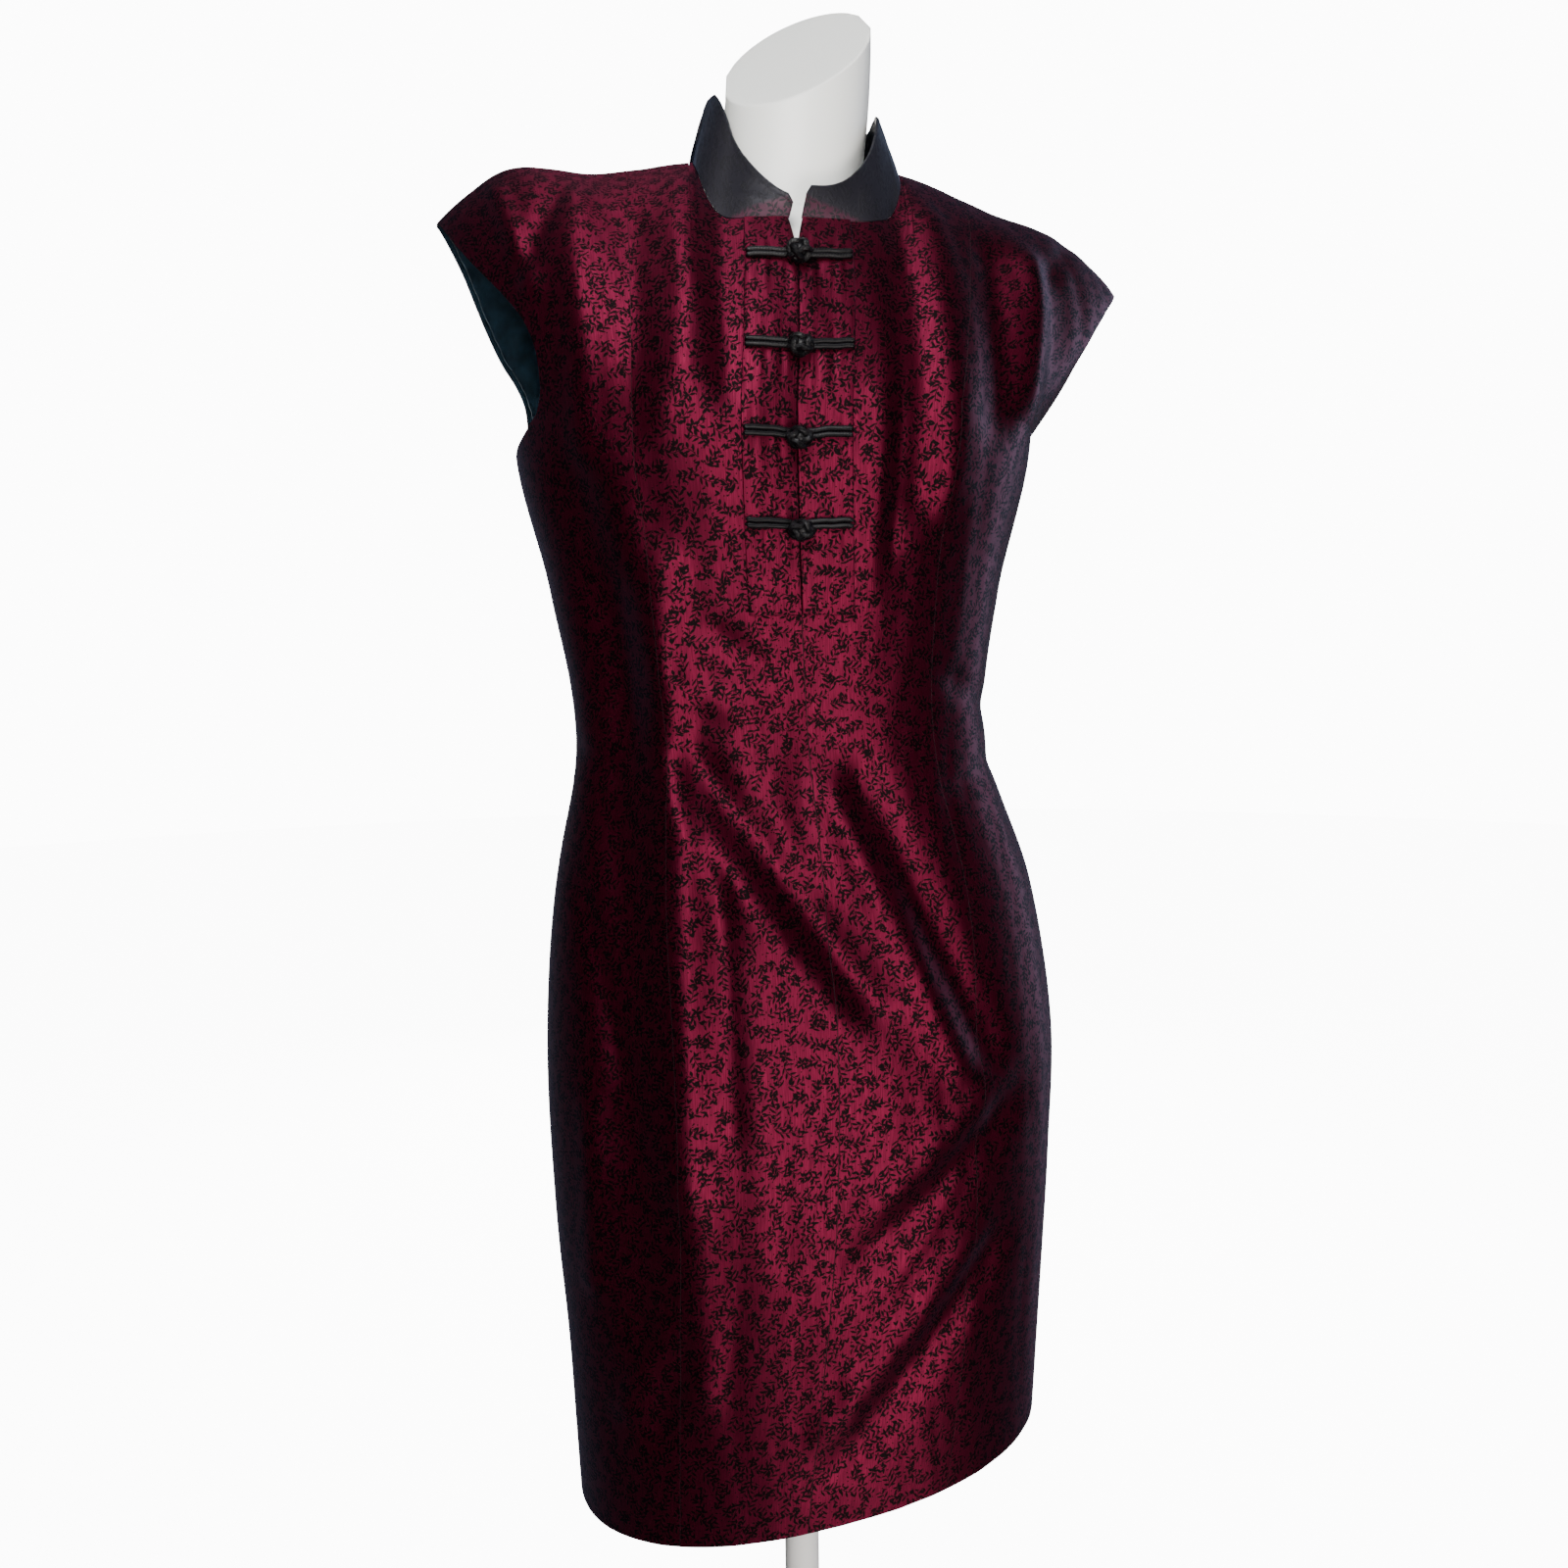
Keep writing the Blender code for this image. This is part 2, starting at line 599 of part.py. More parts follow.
def frogs():
    """Four frogs: a double cord on each side of the opening, and a ball knot over it."""
    for number, height in enumerate(FROG_HEIGHTS, 1):
        for name, left in SIDES:
            sign = 1 if left else -1
            path, normals = [], []
            outer = PLACKET_HALF_WIDTH - CORD_FROM_EDGE
            inner = KNOT_RADIUS - CORD_FROM_EDGE + 1.2 * GAP
            for share in np.linspace(0, 1, 5):
                across = sign * (outer + (inner - outer) * share)
                point, normal = frog_point(height - STRAP_SAG * share**2, across)
                path.append(point + normal * (CORD_RADIUS + 1.5 * GAP))
                normals.append(normal)
            tube("frog_%d_cord_%s" % (number, name), path, normals, CORD_RADIUS, "black_cord")
        point, normal = frog_point(height - KNOT_DROP, 0.0)
        knot("frog_%d_knot" % number, point + normal * KNOT_RADIUS, normal)


def knot(name, centre, normal):
    """Ball knot: a sphere with three raised turns of cord that cross each other."""
    shape = bmesh.new()
    bmesh.ops.create_uvsphere(shape, u_segments=12, v_segments=8, radius=KNOT_RADIUS)
    for vertex in shape.verts:
        way = vertex.co.normalized()
        lobes = abs(math.sin(3 * math.atan2(way.y, way.x) + 4 * way.z))
        vertex.co *= 1 - KNOT_GROOVE * (1 - lobes)
    mesh = bpy.data.meshes.new(name)
    shape.to_mesh(mesh)
    shape.free()
    mesh.shade_smooth()
    mesh.materials.append(material("black_cord"))
    made = bpy.data.objects.new(name, mesh)
    made.location = Vector(centre) + Vector((0, 0, HEM_HEIGHT))
    made.rotation_euler = Vector(normal).to_track_quat("Z", "Y").to_euler()
    collection.objects.link(made)


def collar():
    """Stand collar: a band on the necklines of the fronts and backs, from edge to edge of the opening.

    Its foot follows the square front neckline, and its top edge stands over a rounder one.
    """
    halves = []
    count = OPENING_COLUMNS + len(NECK_COLUMNS) + 1
    corner = len(BACK_NECK_COLUMNS) - 1
    for name, left in SIDES:
        front_turn, front_level = front_center_grid(left)
        back_turn, back_level = back_grid(left)
        turn = np.concatenate([front_turn[-1, :count], back_turn[-1, corner::-1]])
        level = np.concatenate([front_level[-1, :count], back_level[-1, corner::-1]])
        base, normal = cloth(turn, level)
        round_level = BUST + (RIDGE - BUST) * neck_share(turn, NECK_FRONT, ROUND_SQUARENESS)
        upper = cloth(turn, np.where(np.abs(turn) < 1, round_level, level))[0]
        around = np.concatenate([
            np.abs(turn[:count]) / NECK_TURN, 2 - (2 - np.abs(turn[count:])) / NECK_TURN])
        halves.append((base, upper, normal, around))
    base, upper, normal, around = [
        np.concatenate([left, right[-2::-1]]) for left, right in zip(halves[0], halves[1])]
    inward = upper.mean(0) - upper
    inward[:, 2] = 0
    inward /= np.linalg.norm(inward, axis=1, keepdims=True)
    left_side = np.arange(len(around)) <= len(around) // 2
    height = np.where(left_side, curve(COLLAR, 1, around), curve(COLLAR, 2, around))
    lean = curve(COLLAR, 3, around)
    rows = []
    for share in np.linspace(0, 1, COLLAR_ROWS):
        row = base + normal * 1.5 * GAP + (upper - base) * share
        row += inward * (lean * share**COLLAR_LEAN_POWER)[:, None]
        row[:, 0] += COLLAR_SHIFT * share
        row[:, 2] += height * share + GAP
        rows.append(row)
    grid = np.array(rows)
    pull_in(grid, ["start", "end"], GAP)
    shell("collar", grid, np.repeat(-inward[None], len(rows), 0), WALL, "collar_satin")


def form():
    """Limbless form: the smooth body set in from the cloth, its neck cut on a slant."""
    half_neck = FORM_NECK_TURN * np.array([0, 0.4, 0.7, 0.88, 0.97, 1])
    quarter = np.concatenate([half_neck, np.linspace(FORM_NECK_TURN, 1, 8)[1:]])
    front = np.concatenate([-quarter[::-1], quarter[1:]])
    low = np.linspace(FORM_BOTTOM, BUST, 18)
    high = np.linspace(0, 1, 9)[1:]
    columns = len(front)
    last = len(low) + len(high) - 1
    points, index = [], {}

    def add(key, point):
        if key not in index:
            index[key] = len(points)
            points.append(point)
        return index[key]

    patches = []
    for face in ("front", "back"):
        turn = front if face == "front" else np.where(front >= 0, 2 - front, -2 - front)
        centre_share = FORM_NECK_FRONT if face == "front" else FORM_NECK_BACK
        top = neck_share(front, centre_share, ROUND_SQUARENESS, FORM_NECK_TURN)
        level = np.concatenate([
            np.repeat(low[:, None], columns, 1),
            BUST + (RIDGE - BUST) * high[:, None] * top[None, :],
        ])
        turn = np.repeat(turn[None], len(level), 0)
        inset = np.interp(level, FORM_INSET[:, 0], FORM_INSET[:, 1]) + hollows(turn, level)
        grid = smooth_body(turn, level, FORM_SHOULDER)
        grid -= outward(turn, level, FORM_SHOULDER) * inset[..., None]
        ids = np.zeros(grid.shape[:2], int)
        for r in range(grid.shape[0]):
            for c in range(columns):
                at_side = c in (0, columns - 1)
                on_ridge = r == last and abs(front[c]) >= FORM_NECK_TURN - 1e-9
                key = (r, c, "both" if at_side or on_ridge else face)
                ids[r, c] = add(key, grid[r, c])
        patches.append(ids)
    faces = []
    for ids in patches:
        for r in range(last):
            for c in range(columns - 1):
                face = []
                for corner in (ids[r, c], ids[r, c + 1], ids[r + 1, c + 1], ids[r + 1, c]):
                    if corner not in face:
                        face.append(corner)
                faces.append(tuple(int(v) for v in face))
    neck_columns = [c for c in range(columns) if abs(front[c]) <= FORM_NECK_TURN + 1e-9]
    root = [int(patches[0][last, c]) for c in neck_columns]
    root += [int(patches[1][last, c]) for c in reversed(neck_columns[1:-1])]
    bottom = [int(v) for v in patches[0][0]] + [int(v) for v in patches[1][0][-2:0:-1]]
    faces.append(tuple(bottom))
    root_points = np.array([points[v] for v in root])
    cut = cut_ring(root_points)
    previous = root
    for share in (0.35, 0.7, 1.0):
        ids = []
        for k, point in enumerate(root_points):
            ids.append(add(("neck", share, k), point + (cut[k] - point) * smooth_neck(share)))
        for k in range(len(ids)):
            n = (k + 1) % len(ids)
            faces.append((previous[k], previous[n], ids[n], ids[k]))
        previous = ids
    faces.append(tuple(previous))
    points = np.array(points)
    points[:, 2] += HEM_HEIGHT
    solid("form_torso", points, faces, "white_plastic")


def hollows(turn, level):
    """Depth of the form's hollows, alike on both sides: Gaussians in turn and level."""
    total = np.zeros(turn.shape)
    for depth, at_turn, at_level, half_turn, half_level in FORM_HOLLOWS:
        spread = ((np.abs(turn) - at_turn) / half_turn) ** 2 + ((level - at_level) / half_level) ** 2
        total += depth * np.exp(-spread)
    return total


def smooth_neck(share):
    """How far along x and y, and up, the neck has gone at a share of its length."""
    return np.array([1 - (1 - share) ** 2, 1 - (1 - share) ** 2, share])


def cut_ring(root_points):
    """Ring where the neck is cut off: an ellipse in a plane that slants to the front and right."""
    centre = root_points.mean(0)
    angle = np.arctan2(root_points[:, 0] - centre[0], -(root_points[:, 1] - centre[1]))
    x = NECK_RADII[0] * np.sin(angle)
    y = -NECK_RADII[1] * np.cos(angle)
    z = NECK_SLANT[0] * x + NECK_SLANT[1] * y
    return np.stack([x, y, z], -1) + np.array(NECK_CENTRE)


def cylinder(name, radius, bottom, top, look, segments):
    """Upright cylinder on the pole's axis."""
    mesh = bpy.data.meshes.new(name)
    shape = bmesh.new()
    bmesh.ops.create_cone(shape, cap_ends=True, segments=segments, radius1=radius, radius2=radius,
                          depth=top - bottom)
    shape.to_mesh(mesh)
    shape.free()
    mesh.shade_smooth()
    mesh.set_sharp_from_angle(angle=math.radians(50))
    mesh.materials.append(material(look))
    made = bpy.data.objects.new(name, mesh)
    made.location = (0, 0, (top + bottom) / 2)
    collection.objects.link(made)
    return made


def stand():
    """Pole under the form and round base plate on the floor."""
    cylinder("stand_pole", POLE_RADIUS, BASE_THICKNESS + GAP, HEM_HEIGHT + FORM_BOTTOM - GAP,
             "white_enamel", 24)
    cylinder("stand_base", BASE_RADIUS, 0.0, BASE_THICKNESS, "white_enamel", 48)


for old in list(bpy.data.objects):
    bpy.data.objects.remove(old)
collection = bpy.data.collections.new("mini_dress_on_dress_form")
bpy.context.scene.collection.children.link(collection)
panels()
linings()
placket()
collar()
frogs()
form()
stand()
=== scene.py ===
"""Fitted mini dress with a stand collar, cap sleeves and knotted frogs, on a limbless dress form.

Metres, +Z up. X points to the wearer's left and -Y to the front.
The cloth is one surface, cloth(turn, level), and each piece of cloth is a part of it.
turn runs round the body: 0 at the centre front, 1 and -1 at the sides, 2 and -2 at the back.
level runs up it: the height above the hem up to the bust, and from there to 1 at the
shoulder ridge, on curves that bend over from the bust to the ridge.
"""
import math

import bmesh
import bpy
import numpy as np
from mathutils import Matrix, Vector


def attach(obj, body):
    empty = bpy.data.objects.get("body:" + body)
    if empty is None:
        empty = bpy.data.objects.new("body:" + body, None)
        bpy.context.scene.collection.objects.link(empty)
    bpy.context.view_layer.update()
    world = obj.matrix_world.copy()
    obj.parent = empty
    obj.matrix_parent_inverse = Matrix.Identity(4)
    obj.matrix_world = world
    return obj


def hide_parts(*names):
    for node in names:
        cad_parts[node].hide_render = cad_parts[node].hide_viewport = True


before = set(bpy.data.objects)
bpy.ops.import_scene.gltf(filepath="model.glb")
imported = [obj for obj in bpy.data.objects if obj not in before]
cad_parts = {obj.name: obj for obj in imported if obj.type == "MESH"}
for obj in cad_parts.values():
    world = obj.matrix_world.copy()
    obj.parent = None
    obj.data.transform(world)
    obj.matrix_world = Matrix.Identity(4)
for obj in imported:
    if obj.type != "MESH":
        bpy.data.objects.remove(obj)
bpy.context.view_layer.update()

# Dimensions that the solids have too
HEM_HEIGHT = 0.45
BUST = 0.70
RIDGE = 1.0
RIDGE_Y = 0.02
WALL = 0.0015
GAP = 0.0003
SQUARENESS = 2.3
HEM_TILT_X = 0.14
HEM_TILT_Y = -0.04
TILT_FADE = 0.35

# Sections of the skirt and bodice, from the hem to the bust.
# height, half width, front depth, back depth, sway, swing of the front seam, princess seam's turn
SECTIONS = np.array([
    (0.00, 0.164, 0.118, 0.130, 0.005, -0.019, 0.340),
    (0.10, 0.169, 0.123, 0.132, 0.005, -0.009, 0.347),
    (0.20, 0.175, 0.127, 0.136, 0.004, 0.001, 0.345),
    (0.30, 0.177, 0.125, 0.136, 0.004, 0.004, 0.350),
    (0.40, 0.166, 0.109, 0.112, 0.001, 0.004, 0.372),
    (0.50, 0.142, 0.091, 0.087, -0.006, 0.004, 0.390),
    (0.60, 0.153, 0.109, 0.090, -0.009, 0.000, 0.372),
    (0.70, 0.173, 0.128, 0.096, -0.009, -0.004, 0.352),
])

# The shoulder ridge, from the body's centre to the tip of each cap sleeve.
# share of the way out, wearer's left x, its height, wearer's right x, its height
SHOULDERS = np.array([
    (0.00, 0.000, 0.892, 0.000, 0.892),
    (0.29, 0.076, 0.887, 0.063, 0.887),
    (0.56, 0.142, 0.864, 0.124, 0.877),
    (0.83, 0.204, 0.843, 0.190, 0.875),
    (1.00, 0.245, 0.810, 0.232, 0.8415),
])

# Soft forms under the cloth: side of the body, x, height, half width, half height, rise
FORMS = [
    ("front", 0.082, 0.690, 0.045, 0.055, 0.007),
    ("front", -0.092, 0.690, 0.045, 0.055, 0.007),
    ("front", -0.008, 0.665, 0.022, 0.060, -0.003),
    ("back", 0.075, 0.250, 0.060, 0.080, 0.006),
    ("back", -0.068, 0.250, 0.060, 0.080, 0.006),
    ("back", 0.075, 0.770, 0.045, 0.060, 0.004),
    ("back", -0.085, 0.770, 0.045, 0.060, 0.004),
    ("back", 0.000, 0.500, 0.020, 0.100, -0.004),
]

# Largest folds on each side of the body, in millimetres: start x and height, end x and height,
# half width, rise
FOLDS = {
    "front": [
        (-90, 600, -86, 230, 13, 5), (-122, 580, -121, 260, 15, -5), (-67, 481, 28, 346, 14, -6),
        (-78, 455, 6, 335, 14, 3), (36, 470, 104, 312, 14, -5), (14, 460, 86, 302, 13, 4),
        (116, 256, 30, 188, 14, -5), (108, 280, 30, 215, 13, 3), (105, 165, 12, 52, 14, -5),
        (90, 178, 2, 75, 13, 3), (-118, 240, -115, 140, 14, -3), (-80, 230, -80, 100, 13, 3),
        (-143, 655, -115, 510, 14, -4), (-118, 660, -88, 530, 12, 3), (-133, 680, -137, 830, 11, 3),
        (-104, 690, -105, 810, 12, -3), (-76, 720, -73, 840, 11, 3), (-52, 710, -50, 840, 10, -4),
        (61, 650, 58, 830, 11, -4), (82, 660, 82, 820, 12, 3), (112, 700, 117, 800, 12, -4),
        (141, 710, 148, 800, 12, 4),
    ],
    "back": [
        (90, 400, 100, 100, 16, -4), (-80, 380, -90, 120, 15, -4), (-125, 540, 50, 465, 14, -5),
        (120, 565, -30, 495, 12, -4), (30, 300, 22, 60, 18, 4), (-45, 440, -10, 330, 14, -4),
        (-130, 740, -150, 810, 12, -3), (130, 740, 160, 800, 12, -3), (60, 600, 75, 760, 14, 3),
        (-50, 620, -70, 770, 13, -3),
    ],
}

# Armhole edges: share of the way up from the underarm to the sleeve's tip, and the turn of the
# front edge on the wearer's left and right and of the back edge on the wearer's left and right
ARMHOLES = np.array([
    (0.000, 1.000, 1.000, 1.000, 1.000),
    (0.020, 0.960, 0.800, 1.040, 1.100),
    (0.045, 0.920, 0.690, 1.095, 1.190),
    (0.090, 0.867, 0.625, 1.175, 1.260),
    (0.140, 0.828, 0.604, 1.229, 1.295),
    (0.200, 0.798, 0.597, 1.269, 1.290),
    (0.260, 0.778, 0.609, 1.296, 1.262),
    (0.340, 0.762, 0.646, 1.316, 1.245),
    (0.420, 0.755, 0.683, 1.325, 1.238),
    (0.580, 0.758, 0.742, 1.316, 1.232),
    (0.800, 0.774, 0.790, 1.277, 1.205),
    (0.900, 0.785, 0.806, 1.250, 1.190),
    (1.000, 0.820, 0.820, 1.180, 1.180),
])
UNDERARM_DROP = 0.016

# Neckline, front opening and frogs
NECK_TURN = 0.183
NECK_FRONT = 0.45
NECK_BACK = 0.70
NECK_SQUARENESS = 6.0
ROUND_SQUARENESS = 2.5
FRONT_BEND = 1.7
BACK_BEND = 2.6
PLACKET_BOTTOM = 0.576
PLACKET_HALF_WIDTH = 0.032
V_BOTTOM = 0.36
V_HALF_WIDTH = 0.0045
# Share of the front seam's swing that is gone at the ridge; the princess seams' way in above the
# bust, in turn, and their share of the swing
SWING_CALMED = 0.6
PRINCESS_INWARD = 0.067
PRINCESS_SWING = 0.7
FROG_HEIGHTS = [0.631, 0.681, 0.730, 0.787]
KNOT_RADIUS = 0.0068
STRAP_SAG = 0.0015

# Collar: turn round the neck, band height on the wearer's left and right, inward lean of the top
COLLAR = np.array([
    (0.00, 0.019, 0.012, 0.000),
    (0.35, 0.020, 0.018, 0.003),
    (0.70, 0.026, 0.029, 0.008),
    (1.00, 0.036, 0.044, 0.012),
    (1.25, 0.043, 0.051, 0.012),
    (2.00, 0.048, 0.050, 0.012),
])
COLLAR_SHIFT = 0.003

# Dress form and stand
FORM_BOTTOM = 0.16
FORM_SHOULDER = 0.172
FORM_SHOULDER_DROP = 0.022
# How far the form lies inside the cloth, at a level
FORM_INSET = np.array([
    (0.0, 0.014), (0.40, 0.013), (0.70, 0.011), (0.90, 0.009), (0.97, 0.006), (1.0, 0.0021),
])
# Hollows of the form under each shoulder and beside the neck: depth, turn, level, and its half
# sizes in turn and level
FORM_HOLLOWS = [
    (0.024, 0.95, 0.765, 0.36, 0.085),
    (0.006, 0.20, 0.930, 0.06, 0.060),
]
FORM_NECK_TURN = 0.19
FORM_NECK_FRONT = 0.56
FORM_NECK_BACK = 0.78
NECK_CENTRE = (0.0088, -0.010, 0.951)
NECK_RADII = (0.0492, 0.048)
NECK_SLANT = (0.50, 0.95)
POLE_RADIUS = 0.0125
SOCKET_RADIUS = 0.022
BASE_RADIUS = 0.16
BASE_THICKNESS = 0.008

# What only the finished cloth has
CLOTH_WALL = 0.0009
LINING_WALL = 0.0006
COLLAR_WALL = 0.0018
ROW_SPACING = 0.0020
PLACKET_SHARE = 0.52
HEM_TURN_UP = 0.045
LINING_BOTTOM = 0.638
COLLAR_CORNER = 0.004
COLLAR_EASE = 0.0004
CORD_RADIUS = 0.0016
CORD_SPREAD = 0.00165
NECK_RIM = 0.0015
CORD_FROM_EDGE = 0.0005
CORD_FROM_CENTRE = 0.004
KNOT_DROP = 0.004
KNOT_CORD = 0.0017
KNOT_LATITUDE = math.radians(52)
KNOT_WEAVE = 0.0006
KNOT_WIDENED = 1.2
SHARP_EDGE = math.radians(32)
STAND_SHARP_EDGE = math.radians(40)

# Columns of spans on the panels' grids, and rows from the underarm to the bust and from there up
PLACKET_COLUMNS = 18
CORNER_COLUMNS = 14
CENTRE_COLUMNS = 20
SIDE_COLUMNS = 64
BACK_NECK_COLUMNS = 16
BACK_COLUMNS = 50
UNDERARM_ROWS = 20
UPPER_ROWS = 120

# Rises of the finished cloth: faint waves and ripples, seam grooves and the puckers beside them,
# the placket's gathers and stitch lines, and the lining's wrinkles
WAVE_RISE = 0.00045
RIPPLE_RISE = 0.00008
GROOVE_DEPTH = 0.00005
PUCKER_RISE = 0.00020
GATHER_RISE = 0.00045
STITCH_DEPTH = 0.0002
STITCH_WIDTH = 0.0010
WRINKLE_RISE = 0.0013
LINING_SET_BACK = 0.0020

# Middle lines that the woven figure is laid from: the side front's turn past the princess seam, and
# the back's own turn; and how far the figure is moved from one panel to the next
FRONT_SIDE_MIDDLE = 0.25
BACK_MIDDLE = 1.6
FIGURE_SHIFT = (0.0613, 0.0291)
PLACKET_FIGURE = {True: (0.3, 0.11), False: (0.5, 0.11)}

# The lining takes each second row and column of its panel's grid, from this column and up to this
# many rows under the top
LINING_COLUMNS = {"front": 24, "back": 34}
LINING_ROWS_LEFT = 14

# Lights: place, point aimed at, width, height, power in watts, colour, beam in degrees
LIGHTS = {
    "key": ((-0.42, -1.6, 1.92), (0.05, 0, 1.30), 1.2, 1.0, 5.8, "#fffaf5", 52),
    "low": ((0.30, -1.5, 0.28), (0, 0, 0.48), 1.0, 0.6, 31, "#fff6f2", 180),
    "top": ((-0.25, -0.9, 2.15), (0, 0, 1.38), 0.9, 0.7, 15, "#f4f6ff", 180),
    "rim": ((1.9, 0.5, 1.2), (0, 0, 0.9), 0.8, 2.0, 15, "#b9c9ea", 180),
    "back": ((0.10, 2.4, 1.40), (0, 0, 0.95), 1.2, 1.8, 62, "#fffaf5", 180),
}
FLOOR_RADIUS = 9.0
CAMERA_PLACE = (-0.119, -0.784, 0.9785)
# Yaw to the right, pitch down and roll in degrees; lens and sensor in millimetres
CAMERA_ANGLES = (8.25, 4.41, -0.82)
LENS = 26.0
SENSOR = 36.0

# Finer creases of the finished cloth, given as the largest folds are
CREASES = {
    "front": [
        (-60, 410, -58, 270, 9, -2.5), (-79, 440, -81, 300, 9, 2), (-143, 400, -124, 300, 8, -2),
        (-143, 270, -143, 160, 9, 2.5), (-102, 135, -124, 80, 8, 2), (-88, 120, -105, 70, 8, -2),
        (-58, 566, -34, 548, 8, -2.2), (-82, 537, -50, 520, 10, 2), (-2, 550, 4, 430, 34, -3),
        (4, 480, -2, 250, 30, -2.6), (120, 710, 123, 795, 10, -2.2), (145, 720, 150, 795, 10, 2.2),
        (34, 600, 36, 700, 7, 1.5), (47, 620, 49, 780, 6, -1.5), (-186, 845, -166, 780, 7, 2.5),
        (-150, 835, -168, 790, 8, -2), (165, 800, 190, 830, 8, -2), (100, 535, 170, 505, 10, -2.2),
        (105, 470, 165, 495, 10, -1.8), (-100, 475, -160, 500, 10, -1.8), (40, 165, 85, 225, 6, 1),
        (-30, 300, -26, 190, 10, -1.2), (10, 140, 14, 30, 10, 1.2),
    ],
    "back": [
        (105, 525, 155, 500, 9, -2), (-100, 500, -150, 480, 9, -2.2), (10, 500, 70, 470, 9, -1.8),
        (-15, 535, -75, 520, 8, -1.6), (110, 340, 60, 250, 10, 1.8), (-120, 300, -60, 230, 10, -2),
        (40, 180, 55, 50, 9, -1.8), (-30, 150, -38, 40, 10, 1.6), (100, 660, 135, 720, 9, -2),
        (-95, 680, -140, 730, 9, -1.8), (20, 700, 28, 800, 10, 1.4), (170, 790, 190, 830, 8, -1.8),
        (-165, 800, -185, 840, 8, -1.8),
    ],
}

SIDES = [("left", True), ("right", False)]


def curve(table, column, at):
    """Cubic Hermite curve through a column of a table, over its first column, level at its end."""
    xs = table[:, 0]
    ys = table[:, column]
    slopes = np.gradient(ys, xs)
    slopes[-1] = 0.0
    at = np.clip(at, xs[0], xs[-1])
    i = np.clip(np.searchsorted(xs, at) - 1, 0, len(xs) - 2)
    step = xs[i + 1] - xs[i]
    t = (at - xs[i]) / step
    start = (2 * t**3 - 3 * t**2 + 1) * ys[i] + (t**3 - 2 * t**2 + t) * step * slopes[i]
    end = (3 * t**2 - 2 * t**3) * ys[i + 1] + (t**3 - t**2) * step * slopes[i + 1]
    return start + end


def ring(turn):
    """Unit ring: across = r sin(a), along = r cos(a), with r = (|sin a|^n + |cos a|^n)^(-1/n)."""
    angle = turn * math.pi / 2
    across = np.sin(angle)
    along = np.cos(angle)
    radius = (np.abs(across)**SQUARENESS + np.abs(along)**SQUARENESS) ** (-1 / SQUARENESS)
    return across * radius, along * radius


def shoulder(share, left, reach=None):
    """Point of the ridge at a share of the way out; reach shortens it for the dress form."""
    way = np.abs(share)
    drop = 0.0
    if reach is not None:
        length = np.where(left, SHOULDERS[-1, 1], SHOULDERS[-1, 3])
        drop = FORM_SHOULDER_DROP * way**7
        way = way * reach / length
    x = np.where(left, curve(SHOULDERS, 1, way), -curve(SHOULDERS, 3, way))
    z = np.where(left, curve(SHOULDERS, 2, way), curve(SHOULDERS, 4, way))
    return x, z - drop


def smooth_body(turn, level, reach=None):
    """Surface without folds: rings up to the bust, then curves that bend over to the ridge.

    Above the bust, with w from 0 to 1 and e = 2/bend: rise = sin(w pi/2)^e and
    fall = cos(w pi/2)^e carry each point of the bust ring to its point of the ridge.
    """
    turn, level = np.broadcast_arrays(np.asarray(turn, float), np.asarray(level, float))
    low = np.minimum(level, BUST)
    across, along = ring(turn)
    depth = np.where(along > 0, curve(SECTIONS, 2, low), curve(SECTIONS, 3, low))
    base_x = across * curve(SECTIONS, 1, low) + curve(SECTIONS, 4, low)
    base_y = -along * depth
    fade = np.clip(1 - low / TILT_FADE, 0, 1) if reach is None else 0.0
    base_z = low + (HEM_TILT_X * base_x + HEM_TILT_Y * base_y) * fade
    way = np.clip((level - BUST) / (RIDGE - BUST), 0, 1) * math.pi / 2
    power = 2 / ((FRONT_BEND + BACK_BEND) / 2 - (BACK_BEND - FRONT_BEND) / 2 * along)
    rise = np.sin(way) ** power
    fall = np.maximum(np.cos(way), 0) ** power
    top_x, top_z = shoulder(across, across >= 0, reach)
    x = base_x + (top_x - base_x) * rise
    y = RIDGE_Y + (base_y - RIDGE_Y) * fall
    z = base_z + (top_z - BUST) * rise
    y = np.where(level > BUST, y, base_y)
    return np.stack([x, y, z], -1)


def outward(turn, level, reach=None):
    """Outward normal of the smooth body, from differences in turn and level."""
    turn, level = np.broadcast_arrays(np.asarray(turn, float), np.asarray(level, float))
    step = 0.004
    flat = np.clip((RIDGE - level) / (4 * step), 0, 1)
    level = np.clip(level, step, RIDGE - 2 * step)
    round_it = smooth_body(turn + step, level, reach) - smooth_body(turn - step, level, reach)
    up_it = smooth_body(turn, level + step, reach) - smooth_body(turn, level - step, reach)
    normal = np.cross(round_it, up_it)
    normal[..., 1] *= flat
    return normal / np.linalg.norm(normal, axis=-1, keepdims=True)


def smooth_step(value):
    """0 below 0, 1 above 1, and 3v^2 - 2v^3 between."""
    value = np.clip(value, 0, 1)
    return value * value * (3 - 2 * value)


def facing(turn, side):
    """1 on the front or the back of the body, fading to 0 at the sides."""
    way = 1 - np.abs(turn) if side == "front" else np.abs(turn) - 1
    return smooth_step(way * 5)


